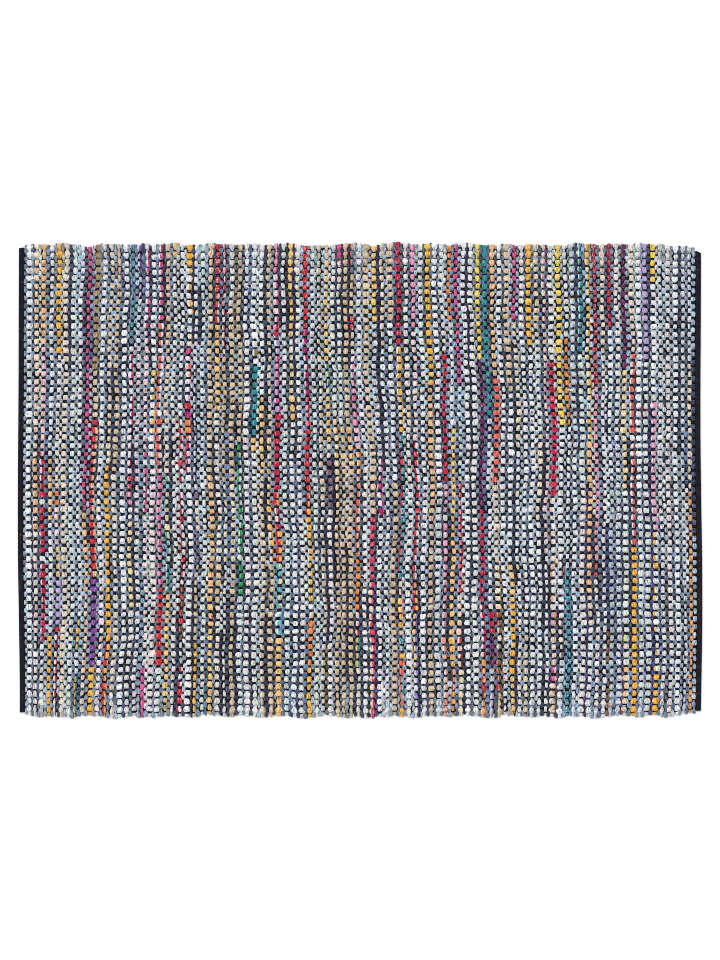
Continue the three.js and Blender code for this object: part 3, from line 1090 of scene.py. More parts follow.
def cotton_material():
    """Plain or printed cotton: petals, scrolls, thin lines or small marks in the cloth's second colour, with
    a painted highlight on its raised folds and painted shade in their hollows and its creases.
    """
    finish = Finish("plain_and_printed_cotton")
    across, along, whole = cloth_places(finish)
    cloth_x, cloth_y, _ = finish.parts(whole)
    folds, fine, crease = gathers(finish, across, along)
    side, fray_line = side_cloth(finish, across, along)
    leaf_weight, scroll_weight, lines_weight = finish.parts(finish.attribute("motifs", "Vector"))
    marks_weight = Number(finish, finish.attribute("marks", "Fac"))
    bent = finish.move(whole, finish.vector(finish.noise(whole, 0.12, 1.0) * 9.0, cloth_x * 0.3))
    petal = finish.cells(bent, 0.2, "DISTANCE_TO_EDGE")
    leaf = petal.step(0.05, 0.09) * (1 - abs(petal - 0.24).step(0.05, 0.02) * 0.8)
    scroll = abs(finish.noise(whole, 0.2, 1.0) - 0.5).step(0.06, 0.025)
    lines = abs((cloth_x * (TURN / LINE_PITCH) + finish.noise(whole, 0.1) * 2.0).sine()).step(0.22, 0.1)
    marks = finish.noise(bent, 0.3, 1.0).step(0.6, 0.68)
    flowered = leaf * leaf_weight + scroll * scroll_weight
    printed = (flowered + lines * lines_weight + marks * marks_weight).cap()
    own = finish.mix(finish.attribute("cloth"), finish.attribute("print"), printed * 0.9)
    ground = finish.mix(own, finish.attribute("side"), side)
    yarns = (cloth_x * (TURN / COTTON_PITCH)).sine() * (cloth_y * (TURN / COTTON_PITCH)).sine()
    marbled = finish.noise(whole, 0.22, 3.0, 0.65)
    shaded = finish.mix(ground, (0.78, 0.76, 0.74), marbled.step(0.5, 0.85) * 0.5, "MULTIPLY")
    # Painted light: a painted highlight on the raised folds, and painted shade in their hollows and the
    # creases
    fold_shade_mask = (folds.step(0.44, 0.32) * 0.55 + crease * 0.7).cap()
    lit = finish.mix(shaded, (0.93, 0.93, 0.93), folds.step(0.56, 0.7) * 0.3)
    fold_shaded = finish.mix(lit, (0.27, 0.24, 0.22), fold_shade_mask, "MULTIPLY")
    fraying = fray_line * finish.noise(whole, 0.9, 2.0).step(0.45, 0.6)
    frayed = finish.mix(fold_shaded, screen_colour(240, 238, 236), fraying * 0.55)
    relief = folds * 0.9 + fine * 0.3 - crease * 0.3 + yarns * 0.015 + marbled * 0.08
    return finish.finish(frayed, relief, FOLD_RELIEF, 0.88, 0.08)


def warp_material(colours):
    """Soft black yarns side by side, with a little lint."""
    finish = Finish("black_cotton_warp")
    strip = finish.strip()
    across, along, _ = finish.parts(strip)
    waver = finish.noise(finish.vector(along * 0.09, across * 0.3), 1.0, 3.0)
    yarns = (across + waver * 1.4).wave(WARP_PITCH)
    fuzz = finish.noise(finish.vector(across * 1.3, along * 0.9), 1.0, 3.0, 0.7)
    bright = finish.mix(tuple(colours.warp), screen_colour(48, 47, 57), (yarns * 0.4 + fuzz * 0.3).cap())
    lint = finish.noise(finish.vector(across * 1.6, along * 1.1), 1.0, 1.0).step(0.72, 0.78)
    hair = abs(finish.noise(strip, 0.07, 1.0) - 0.5).step(0.004, 0.0015)
    patch = finish.noise(strip, 0.035, 1.0).step(0.52, 0.6)
    speckled = finish.mix(bright, screen_colour(150, 164, 184), (lint * 0.4 + hair * patch * 0.8).cap())
    return finish.finish(speckled, yarns * 0.6 + fuzz * 0.4, YARN_RELIEF, 1.0, 0.0, 0.02)


def tape_material(colours):
    """Black cotton tape in a fine twill, a little brown where it is rubbed."""
    finish = Finish("black_woven_tape")
    place = finish.node("ShaderNodeTexCoord").outputs["Object"]
    x, y, z = finish.parts(place)
    twill = (x + y + z * 0.7).wave(TAPE_PITCH * MM)
    rubbed = finish.noise(place, 42.0, 3.0, 0.6).step(0.4, 0.75)
    fuzz = finish.noise(place, 900.0, 2.0, 0.6)
    yarns = finish.mix(tuple(colours.tape), screen_colour(46, 43, 53), (twill * 0.3 + fuzz * 0.25).cap())
    worn = finish.mix(yarns, screen_colour(60, 52, 58), rubbed * 0.3)
    return finish.finish(worn, twill * 0.4 + fuzz * 0.6, YARN_RELIEF, 0.92, 0.0, 0.05)


def yarn_material(name):
    """Twisted yarn that takes its colour from each thread."""
    finish = Finish(name)
    across, along, _ = finish.parts(finish.strip())
    twist = (across * 0.8 + along).wave(TWIST_PITCH)
    yarn = finish.attribute("cloth")
    shaded = finish.mix(yarn, (0.6, 0.6, 0.62), twist * 0.5, "MULTIPLY")
    return finish.finish(shaded, twist, TWIST_RELIEF, 0.9, 0.1)


# Rags across the rug


def cloth_row(cloths, name):
    """A cloth in numbers: its ground, the colour of its print, and 1 for the motif of its print."""
    ground = tuple(getattr(cloths, name))
    shade, motif = PRINTS.get(name, (None, None))
    printed = screen_colour(*shade) if shade else ground
    return [*ground, *printed, *(float(motif == kind) for kind in MOTIFS)]


def named_rags(row, bundles):
    """The cloths of a row of a rag table, each with the bundle it ends at."""
    rags = []
    for rag in row.split(", "):
        cloth, _, end = rag.partition(" ")
        rags.append((cloth, int(end or bundles)))
    return rags


def rag_lengths(rng, row, bundles, chances):
    """The rags of one pick from the far selvedge on: the bundle each ends at, and its cloths."""
    rags = []
    begun = 0
    for cloth, end in [*named_rags(row, bundles), (ANY, bundles)]:
        while cloth == ANY and begun < end:
            begun = min(end, begun + int(rng.integers(SHORT_RAG, LONG_RAG)))
            rags.append((begun, str(pick_cloths(rng, chances))))
        if cloth != ANY:
            rags.append((end, cloth))
            begun = end
    return rags


def rag_tables(rug, kind, picks, crossings):
    """For each pick and oval: the cloth's numbers, the second cloth's colour, and what chance gave the rag.
    That is where the second cloth begins, the width, where on the cloth the rag was cut, and its fold."""
    rng, bundles = rug.rng, rug.weave.bundles
    values = np.zeros((len(picks), crossings, 6 + len(MOTIFS)))
    sides = np.zeros((len(picks), crossings, 3))
    traits = np.zeros((len(picks), crossings, 5))
    for row, pick in enumerate(picks):
        begun = 0
        for end, cloth in rag_lengths(rng, kind["rags"].get(int(pick), ANY), bundles, kind["chances"]):
            first, *second = cloth.split("+")
            place = np.arange(crossings)
            bundle = 2 * place if pick % 2 == 1 else bundles - 1 - 2 * place
            here = (bundle >= begun) & (bundle < end)
            own = cloth_row(rug.cloths, first)
            if second:
                other, edge = cloth_row(rug.cloths, second[0])[:3], rng.uniform(-0.35, 0.35)
            else:
                other, edge = chance_side(rug, own, kind["sides"])
            values[row, here] = own
            sides[row, here] = other
            girth = rng.uniform(0.86, 1.1)
            start = rng.uniform(-400, 400, 2)
            fold, _ = rng.uniform(-1, 1, 2)
            traits[row, here] = [edge, girth, *start, fold]
            begun = end
    turned = rng.uniform(size=traits.shape[:2])
    traits[..., 0] += spread(rng, "side", turned.shape)
    traits[..., 0] = np.where(turned < TURNED_SHARE, -1.3, traits[..., 0])
    return values, sides, traits


def chance_side(rug, own, names):
    """Some rags have the back or another shade of their cloth along one side."""
    if rug.rng.uniform() > SIDE_CHANCE:
        return own[:3], 3.0
    name = str(rug.rng.choice(names))
    return cloth_row(rug.cloths, name)[:3], rug.rng.uniform(0.15, 0.8)


def rag_template(pitch, gap, crossings):
    """The rings of a rag from the selvedge where it turns on top to the one where it turns below. Each has
    what OVAL_RINGS says, its place from that selvedge in metres, and the number of its oval."""
    rings = [
        {**ring, "place": gap + pitch * (2 * oval + 0.5) + ring["along"] * MM, "oval": oval}
        for oval in range(crossings) for ring in OVAL_RINGS
    ]
    outermost = OVAL_RINGS[-1]["along"]
    rings[0] = {**TURN_ON_TOP, "place": TURN_ON_TOP["along"] * MM, "oval": 0, "along": -outermost}
    for ring in TURN_BELOW:
        place = 2 * HALF_WIDTH - ring["along"] * MM
        rings.append({**ring, "place": place, "oval": crossings - 1, "along": outermost})
    return {key: np.array([ring[key] for ring in rings]) for key in rings[0]}


def oval_chance(rug, kind, ovals, rings):
    """What chance gives each oval, or each rag or ring. ovals is the number of rags and of ovals in each."""
    rng, uneven, shading = rug.rng, rug.weave.unevenness, kind["shading"]
    rags, inner = ovals[0], len(kind["section"]) - 2
    return {
        "stretch": 1 + uneven * spread(rng, "stretch", ovals),
        "lift": uneven * spread(rng, "lift", ovals),
        "sway": uneven * (spread(rng, "sway", ovals) + SLOW_SWAY * slow_chance(rng, ovals, 13)) * MM,
        "slide": uneven * (spread(rng, "slide", ovals) + SLOW_SLIDE * slow_chance(rng, ovals, 9)) * MM,
        "skew": uneven * spread(rng, "skew", ovals),
        "roll": uneven * spread(rng, "roll", ovals),
        "plump": 1 + uneven * (SLOW_PLUMP * slow_chance(rng, ovals, 21) + spread(rng, "plump", ovals)),
        "shade": 1 + uneven * shading * spread(rng, "shade", (*ovals, 1)),
        "tint": 1 + uneven * TINT_SHARE * shading * rng.normal(0, 1, (*ovals, 3)),
        "outline": 1 + uneven * spread(rng, "outline", (rags, rings, 2)),
        "rag_folds": rng.uniform(-1, 0.5, (rags, 1, inner)),
        "oval_folds": rng.uniform(-1, 0.45, (*ovals, inner)),
        "bulge": rng.uniform(*PICK_BULGE, rags),
    }


def rag_rings(rug, kind, width, picks, ring, chance, traits):
    """The rings of each rag in the even weave, and each ring's place along its rag."""
    layout, oval = rug.layout, ring["oval"]
    crown = ring["top"] > CROWN
    turns = np.isin(np.arange(len(oval)), (0, len(oval) - 2, len(oval) - 1))
    moved = ring["along"] * MM * (chance["stretch"][:, oval] - 1) + chance["slide"][:, oval]
    place = ring["place"] + np.where(turns, 0.0, moved)
    direction = np.where(picks % 2 == 0, 1.0, -1.0)[:, None]

    cut = np.array([CUT_WIDTHS.get(int(pick), 1.0) for pick in picks])
    share = ring["width"] ** (1 / kind["fullness"])
    own_width = cut * (layout.thickness[picks] / layout.thickness.mean())
    half = width / 2 * own_width[:, None] * share * (chance["plump"] * traits[..., 1])[:, oval]
    skewed = chance["skew"][:, oval] * ring["along"] * MM
    centre = layout.centres[picks][:, None] + chance["sway"][:, oval] + skewed

    high = (ring["top"] * (1 - kind["dip"] * crown) + chance["lift"][:, oval] * crown) * MM
    low = ring["bottom"] * MM + np.zeros_like(high)
    edge = low + SECTION_EDGE * (high - low)
    section = np.array(kind["section"])
    folds = 0.5 * chance["rag_folds"] * np.cos(traits[..., 4:5] * TURN) + 0.5 * chance["oval_folds"]
    crest = np.zeros((*high.shape, len(section)))
    crest[..., 1:-1] = folds[:, oval]
    arch = (1 - np.abs(section) ** SECTION_POWER) ** 0.5
    uneven = 1 + FOLD_DEPTH * crest * share[None, :, None] + chance["roll"][:, oval][..., None] * section

    rings = np.zeros((*high.shape, len(section) + 1, 3))
    outline = np.where(section < 0, chance["outline"][..., :1], chance["outline"][..., 1:])
    flanks = half[..., None] * outline * section
    rings[..., :-1, 0] = centre[..., None] + direction[..., None] * flanks
    rings[..., -1, 0] = centre
    rings[..., 1] = (direction * (place - HALF_WIDTH))[..., None]
    rings[..., :-1, 2] = edge[..., None] + (high - edge)[..., None] * arch * uneven
    rings[..., -1, 2] = low
    np.clip(rings[..., 0], -PANEL_HALF, PANEL_HALF, out=rings[..., 0])
    return rings, place


def rag_tips(rug, picks):
    """The points that the rags end in, at the two selvedges."""
    tips = np.full((len(picks), 2, 3), TIP_HEIGHT)
    tips[..., 0] = rug.layout.centres[picks][:, None]
    tips[..., 1] = np.where(picks % 2 == 0, HALF_WIDTH, -HALF_WIDTH)[:, None] * np.array([-1, 1])
    return tips


def lay_rags(context, name, width, material):
    """Lays all rags of one kind and keeps them in a few pieces from left to right."""
    rug = Rug(context, name)
    kind = RAG_KINDS[name]
    section = kind["section"]
    picks = np.arange(kind["first_pick"], rug.weave.picks, 2)
    ovals = (len(picks), rug.weave.bundles // 2)
    ring = rag_template(rug.layout.pitch, rug.weave.selvedge_gap, ovals[1])
    oval = ring["oval"]
    values, second, traits = rag_tables(rug, kind, picks, ovals[1])
    chance = oval_chance(rug, kind, ovals, len(oval))
    rings, place = rag_rings(rug, kind, width, picks, ring, chance, traits)
    rings = rug.layout.lay(rings, chance["bulge"][:, None, None])
    tips = rug.layout.lay(rag_tips(rug, picks), chance["bulge"][:, None])

    around = np.array([*((np.array(section) + 1) / 2 * (1 - UNDERSIDE_SHARE)), 1 - UNDERSIDE_SHARE / 2, 1.0])
    left = np.array([*section, -UNDERSIDE_WIDTH / CLOTH_HALF_WIDTH]) * CLOTH_HALF_WIDTH
    right = np.array([*section[1:], UNDERSIDE_WIDTH / CLOTH_HALF_WIDTH, section[0]]) * CLOTH_HALF_WIDTH
    opaque = np.ones((*ovals, 1))
    ground = np.clip(values[..., :3] * (chance["shade"] * chance["tint"]), 0, 1)
    attributes = {
        "cloth": ("FLOAT_COLOR", np.concatenate((ground, opaque), axis=2)),
        "print": ("FLOAT_COLOR", np.concatenate((values[..., 3:6], opaque), axis=2)),
        "side": ("FLOAT_COLOR", np.concatenate((second, opaque), axis=2)),
        "motifs": ("FLOAT_VECTOR", values[..., 6:9]),
        "marks": ("FLOAT", values[..., 9:]),
        "side_start": ("FLOAT", traits[..., :1]),
        "start": ("FLOAT_VECTOR", np.concatenate((traits[..., 2:4], 0 * opaque), axis=2)),
    }
    for number_of_piece, stretch_picks in enumerate(np.array_split(np.arange(rug.weave.picks), STRETCHES), 1):
        part = np.isin(picks, stretch_picks)
        mesh = tube_mesh(f"{name}_{number_of_piece}", rings[part], tips[part])
        along = place[part] / MM
        strip_map(mesh, along, left, right)
        bake_map(mesh, along, around)
        for title, (form, array) in attributes.items():
            add_attribute(mesh, title, form, point_values(array[part][:, oval], len(section) + 1))
        place_piece(mesh, material, kind["slot"], [PANEL])


class RUG_OT_denim_rags(bpy.types.Operator):
    """Lay the denim rags"""

    bl_idname = "rug.denim_rags"
    bl_label = "Denim rags"

    def execute(self, context):
        lay_rags(context, "denim_rags", context.scene.rug_weave.denim_width, denim_material())
        return {"FINISHED"}


class RUG_OT_cotton_rags(bpy.types.Operator):
    """Lay the plain and printed cotton rags"""

    bl_idname = "rug.cotton_rags"
    bl_label = "Cotton rags"

    def execute(self, context):
        lay_rags(context, "cotton_rags", context.scene.rug_weave.cotton_width, cotton_material())
        return {"FINISHED"}


# The warp


def lay_warp(rug, name, first, last, material):
    """Lays the bundles from one end tape to the middle of the rug, over and under its picks."""
    weave, layout, uneven = rug.weave, rug.layout, rug.weave.unevenness
    picks = np.arange(first, last)
    bundle = np.arange(weave.bundles)[:, None]
    on_top = (picks + bundle) % 2 == 0
    over = np.where(on_top, weave.warp_top, weave.warp_low)
    over = over + uneven * rug.rng.normal(0, WARP_RISE, over.shape)
    inside = HALF_LENGTH - TAPE_HEIGHT / 2 - CLEARANCE
    in_tape = TAPE_HEIGHT / 2 + WARP_THICKNESS / 2
    middle = (weave.warp_top + weave.warp_low) / 2
    if first == 0:
        x_before, x_after = [-inside, -PANEL_HALF - CLEARANCE], [layout.edges[last]]
        before, after = [in_tape, in_tape], [middle]
    else:
        x_before, x_after = [layout.edges[first]], [PANEL_HALF + CLEARANCE, inside]
        before, after = [middle], [in_tape, in_tape]
    x = np.concatenate((x_before, layout.centres[picks], x_after))
    beside = ((0, 0), (len(before), len(after)))
    width = np.pad(
        np.where(on_top, weave.warp_width, layout.pitch * 0.99), beside, constant_values=layout.pitch * 0.9
    )
    one = np.ones((weave.bundles, 1))
    height = np.concatenate([one * before, over, one * after], axis=1)
    shares = np.array([-1.0, 1.0, 0.0])
    drop = np.array([0.0, 0.0, 1.0]) * WARP_THICKNESS
    centre = layout.bundles[:, None] + uneven * rug.rng.normal(0, WARP_STRAY, height.shape)
    rings = np.zeros((weave.bundles, len(x), len(shares), 3))
    rings[..., 0] = x[:, None]
    rings[..., 1] = centre[..., None] - width[..., None] / 2 * shares
    rings[..., 2] = height[..., None] - drop
    tips = rings[:, [0, -1]].mean(axis=2)
    mesh = tube_mesh(name, layout.lay(rings), layout.lay(tips))
    along = x / MM + bundle * WARP_SHIFT
    reach = weave.warp_width / MM / 2
    strip_map(mesh, along, np.array([-1.0, 1.0, 2.0]) * reach, np.array([1.0, 2.0, 3.0]) * reach)
    bake_map(mesh, along, np.array([0.0, 0.7, 0.85, 1.0]))
    return place_piece(mesh, material, "black_warp", [PANEL]), float(x[-1] - x[0])


class RUG_OT_warp(bpy.types.Operator):
    """Lay the black warp under and over the rags"""

    bl_idname = "rug.warp"
    bl_label = "Warp"

    def execute(self, context):
        rug = Rug(context, "warp")
        material = warp_material(rug.cloths)
        middle = int(np.array_split(np.arange(rug.weave.picks), STRETCHES)[LEFT_STRETCHES][0])
        for side, first, last in (("left", 0, middle), ("right", middle, rug.weave.picks)):
            piece, warp_length = lay_warp(rug, f"black_warp_{side}", first, last, material)
            rags = [
                other for other in bpy.data.objects
                if "_rags_" in other.name and (int(other.name[-1]) <= LEFT_STRETCHES) == (first == 0)
            ]
        return {"FINISHED"}


# The end tapes


def tape_run():
    """The middle of the tape's thickness, from its top inner edge round the fold to its lower inner edge."""
    half = TAPE_THICKNESS / 2
    inner = HALF_LENGTH - TAPE_WIDTH
    fold_x = HALF_LENGTH - TAPE_HEIGHT / 2
    radius = TAPE_HEIGHT / 2 - half
    upper = [(x, TAPE_HEIGHT - half) for x in np.linspace(inner, fold_x, 7)]
    turn = [
        (fold_x + radius * math.cos(angle), TAPE_HEIGHT / 2 + radius * math.sin(angle))
        for angle in np.linspace(math.pi / 2, -math.pi / 2, 8)[1:-1]
    ]
    lower = [(x, half) for x in np.linspace(fold_x, inner, 4)]
    return upper + turn + lower


def tape_form(name):
    """The run of a tape, drawn out across the rug and given its thickness."""
    rows = int(2 * HALF_WIDTH / (2 * STITCH_PITCH))
    form = bmesh.new()
    points = [form.verts.new((x, -HALF_WIDTH, z)) for x, z in tape_run()]
    run = [form.edges.new(pair) for pair in zip(points, points[1:])]
    for _ in range(rows):
        grown = bmesh.ops.extrude_edge_only(form, edges=run)["geom"]
        moved = [part for part in grown if isinstance(part, bmesh.types.BMVert)]
        run = [part for part in grown if isinstance(part, bmesh.types.BMEdge)]
        bmesh.ops.translate(form, verts=moved, vec=(0, 2 * HALF_WIDTH / rows, 0))
    bmesh.ops.recalc_face_normals(form, faces=form.faces)
    bmesh.ops.solidify(form, geom=form.verts[:] + form.edges[:] + form.faces[:], thickness=TAPE_THICKNESS / 2)
    bmesh.ops.recalc_face_normals(form, faces=form.faces)
    mesh = bpy.data.meshes.new(name)
    form.to_mesh(mesh)
    form.free()
    return mesh


def end_tape(rug, end, material):
    """The folded tape of one end, drawn down along its sewing and a little uneven."""
    mesh = tape_form(END_TAPES[end] + "_tape")
    place = np.zeros(len(mesh.vertices) * 3)
    mesh.vertices.foreach_get("co", place)
    place = place.reshape(-1, 3)
    inner = HALF_LENGTH - TAPE_WIDTH
    stitched = np.exp(-(((place[:, 0] - inner - STITCH_INSET) / STITCH_DIP) ** 2))
    swell = 0.5 + 0.5 * np.sin(place[:, 1] * TURN / (11 * MM) + rug.rng.uniform(0, TURN))
    upper = place[:, 2] > TAPE_HEIGHT / 2
    place[:, 2] -= np.where(upper, stitched * (STITCH_PULL + STITCH_SWELL * swell), 0)
    soft = np.sin(place[:, 1] * TURN / 0.07 + end) * 0.25 + np.sin(place[:, 1] * TURN / 0.031) * 0.15
    place[:, 0] += soft * MM * (place[:, 0] - inner) / TAPE_WIDTH * (place[:, 0] < HALF_LENGTH - 1.5 * MM)
    place[:, :2] *= end
    mesh.vertices.foreach_set("co", rug.layout.lay(place).astype(np.float32).ravel())
    mesh.update()
    mesh.shade_smooth()
    piece = place_piece(mesh, material, "black_tape", [END_TAPES[end]])


def end_stitches(rug, end):
    """The row of sewing that holds a tape: short stitches that dip into it at each end."""
    count = int(2 * (HALF_WIDTH - STITCH_FREE) / STITCH_PITCH)
    middle = (np.arange(count) - (count - 1) / 2) * STITCH_PITCH
    paths = np.zeros((count, 3, 3))
    paths[..., 0] = (HALF_LENGTH - TAPE_WIDTH + STITCH_INSET) + rug.rng.normal(0, STITCH_STRAY, (count, 1))
    paths[..., 1] = middle[:, None] + np.array(STITCH_PLACES) * STITCH_PITCH
    paths[..., 2] = TAPE_HEIGHT - STITCH_PULL - STITCH_SINK + np.array(STITCH_HEIGHTS) * MM
    paths[..., :2] *= end
    colours = np.tile(screen_colour(46, 43, 50), (count, 1))
    return rug.layout.lay(paths), np.full((count, 3), STITCH_RADIUS), colours


def lint_specks(rug, end):
    """Short bits of lint that cling to a tape."""
    rng, count = rug.rng, rug.ends.lint // 2
    start_x = HALF_LENGTH - rng.uniform(LINT["inset"], TAPE_WIDTH / MM, count) * MM
    start_y = rng.uniform(-HALF_WIDTH, HALF_WIDTH, count) * 0.97
    heading = rng.uniform(0, TURN, (count, 1)) + rng.normal(0, LINT["bend"], (count, 3)).cumsum(axis=1)
    stride = rng.uniform(*LINT["stride"], (count, 1)) * MM
    paths = np.full((count, 3, 3), TAPE_HEIGHT + LINT["rise"] * MM)
    paths[..., 0] = start_x[:, None] + (np.cos(heading) * stride).cumsum(axis=1).clip(-4 * MM, 2 * MM)
    paths[..., 1] = start_y[:, None] + (np.sin(heading) * stride).cumsum(axis=1)
    paths[..., :2] *= end
    radii = np.full((count, 3), LINT["radius"] * MM)
    return rug.layout.lay(paths), radii, rug.colours(count, LINT_COLOURS)


class RUG_OT_end_tapes(bpy.types.Operator):
    """Fold and sew the tape over both short ends"""

    bl_idname = "rug.end_tapes"
    bl_label = "End tapes"

    def execute(self, context):
        rug = Rug(context, "end_tapes")
        cloth = tape_material(rug.cloths)
        thread = yarn_material("black_sewing_thread")
        for end in END_TAPES:
            end_tape(rug, end, cloth)
            sewn = end_stitches(rug, end)
            both = [np.concatenate(pair) for pair in zip(sewn, lint_specks(rug, end))]
            place_piece(yarn_mesh(END_TAPES[end] + "_threads", *both), thread, "black_tape")
        return {"FINISHED"}


# Loose ends


def yarn_mesh(name, paths, radii, colours, sides=3, flatten=1.0):
    """Yarns as thin tubes along paths: yarn, point, XYZ. radii has a value for each point."""
    step = np.gradient(paths, axis=1)
    step /= np.linalg.norm(step, axis=2, keepdims=True) + 1e-12
    across = np.cross(step, [0.0, 0.0, 1.0])
    across /= np.linalg.norm(across, axis=2, keepdims=True) + 1e-9
    upward = np.cross(across, step)
    angles = (TURN * np.arange(sides) / sides + TURN / 4)[:, None]
    turned = np.cos(angles) * across[:, :, None, :] + flatten * np.sin(angles) * upward[:, :, None, :]
    rings = paths[:, :, None, :] + radii[:, :, None, None] * turned
    first_tip = paths[:, 0] - step[:, 0] * radii[:, :1]
    last_tip = paths[:, -1] + step[:, -1] * radii[:, -1:]
    tips = np.stack((first_tip, last_tip), axis=1)
    mesh = tube_mesh(name, rings[:, :, ::-1], tips)
    lengths = np.linalg.norm(np.diff(paths, axis=1), axis=2).cumsum(axis=1)
    along = np.concatenate((np.zeros((len(paths), 1)), lengths), axis=1) / MM
    around = np.linspace(0, 1, sides + 1)
    outline = around * TURN * radii.mean() / MM
    strip_map(mesh, along, outline[:-1], outline[1:])
    yarn_bake_map(mesh, along, around)
    rgba = np.concatenate((colours, np.ones((len(colours), 1))), axis=1)
    spread_out = np.broadcast_to(rgba[:, None, :], (*paths.shape[:2], 4))
    add_attribute(mesh, "cloth", "FLOAT_COLOR", point_values(spread_out, sides))
    return mesh


def place_yarns(name, yarns, material, slot, **shape):
    """Makes two pieces of loose yarns, those on the left and those on the right. yarns holds their paths,
    radii and colours."""
    on_right = yarns[0][..., 0].mean(axis=1) > 0
    for side, chosen in (("left", ~on_right), ("right", on_right)):
        mesh = yarn_mesh(f"{name}_{side}", *(array[chosen] for array in yarns), **shape)
        place_piece(mesh, material, slot)


def walk(start_x, start_y, heading, stride):
    """Paths that go on from their starts by strides, each with its heading, at the height of the floor."""
    x = start_x + (np.cos(heading) * stride).cumsum(axis=-1)
    y = start_y + (np.sin(heading) * stride).cumsum(axis=-1)
    return np.stack((x, y, np.zeros_like(x)), axis=-1)


def drape(height, sag):
    """Evens out the heights of the weave along a path, which sinks at most by sag where they jump."""
    smooth = (np.roll(height, 1, axis=-1) + height + np.roll(height, -1, axis=-1)) / 3
    return np.maximum(smooth, height - sag)


def loose_threads(rug):
    """Long threads that have come out of the rags and lie in curls on the weave."""
    rng, kind, count, steps = rug.rng, THREAD, rug.ends.threads, THREAD["points"]
    turn = rng.normal(0, kind["bend"], (count, steps)).cumsum(axis=1) * kind["stiffness"]
    curl = rng.uniform(-kind["curl"], kind["curl"], (count, 1)) * np.arange(steps)
    heading = rng.uniform(0, TURN, (count, 1)) + turn + curl
    stride = rng.uniform(*kind["stride"], (count, 1)) * MM
    edge_x, edge_y = PANEL_HALF - kind["off_tapes"] * MM, HALF_WIDTH - kind["off_selvedges"] * MM
    start_x = rng.uniform(-edge_x, edge_x, (count, 1))
    start_y = rng.uniform(-edge_y, edge_y, (count, 1))
    paths = walk(start_x, start_y, heading, stride)
    paths[..., 2] = drape(rug.height(paths), kind["sag"] * MM) + rug.ends.thread_width * 0.3
    paths[:, [0, -1], 2] -= kind["sunk_ends"] * MM
    radii = rug.ends.thread_width / 2 * rng.uniform(*kind["girth"], (count, 1)) * np.ones(steps)
    return rug.layout.lay(paths), radii, rug.colours(count, LOOSE_COLOURS)


def tangles(rug):
    """Knots of curled yarn where the side of a rag has frayed away."""
    rng, kind, count = rug.rng, TANGLE, rug.ends.tangles
    yarns, steps = kind["yarns"], kind["points"]
    each = (count, yarns, 1)
    edge_x, edge_y = PANEL_HALF - kind["off_tapes"] * MM, HALF_WIDTH - kind["off_selvedges"] * MM
    start_x = rng.uniform(-edge_x, edge_x, (count, 1, 1)) + rng.normal(0, kind["scatter_x"], each) * MM
    start_y = rng.uniform(-edge_y, edge_y, (count, 1, 1)) + rng.normal(0, kind["scatter_y"], each) * MM
    curl = rng.uniform(-kind["curl"], kind["curl"], each) * np.arange(steps)
    heading = rng.uniform(0, TURN, each) + curl
    heading = heading + rng.normal(0, kind["bend"], (count, yarns, steps)).cumsum(axis=2)
    paths = walk(start_x, start_y, heading, rng.uniform(*kind["stride"], each) * MM)
    paths[..., 2] = drape(rug.height(paths), kind["sag"] * MM) + rng.uniform(*kind["rise"], each) * MM
    colours = np.repeat(rug.colours(count, TANGLE_COLOURS), yarns, axis=0)
    radii = rug.ends.thread_width / 2 * rng.uniform(*kind["girth"], (count * yarns, 1)) * np.ones(steps)
    return rug.layout.lay(paths.reshape(-1, steps, 3)), radii, colours


def frayed_edges(rug):
    """Groups of short yarns that stick out of the side of a rag, over the warp beside it."""
    rng, kind, count = rug.rng, FRAY, rug.ends.frays
    hairs, steps = kind["yarns"], kind["points"]
    pick = rng.integers(1, rug.weave.picks - 1, count)
    bundle = rng.integers(1, rug.weave.bundles // 2 - 1, count) * 2 + (pick + 1) % 2
    side = rng.choice([-1.0, 1.0], count)
    root_x = rug.layout.centres[pick] + side * kind["out"] * MM
    off_bundle = rng.uniform(-kind["along"], kind["along"], (count, hairs)) * MM
    root_y = rug.layout.bundles[bundle][:, None] + off_bundle
    heading = np.where(side > 0, 0.0, math.pi)[:, None] + rng.normal(0, kind["fan"], (count, hairs))
    reach = rng.uniform(*kind["reach"], (count, hairs, 1)) * MM
    share = np.linspace(0, 1, steps)
    heading = heading[..., None] + rng.normal(0, kind["bend"], (count, hairs, 1)) * share
    paths = np.zeros((count, hairs, steps, 3))
    paths[..., 0] = root_x[:, None, None] + np.cos(heading) * reach * share
    paths[..., 1] = root_y[..., None] + np.sin(heading) * reach * share
    paths[..., 2] = rug.height(paths) + rug.ends.fray_width * 0.4
    paths[..., 0, 2] -= kind["sunk_root"] * MM
    colours = np.repeat(rug.colours(count, LOOSE_COLOURS), hairs, axis=0)
    radii = rug.ends.fray_width / 2 * np.linspace(1.0, 0.5, steps) * np.ones((count * hairs, 1))
    return rug.layout.lay(paths.reshape(-1, steps, 3)), radii, colours


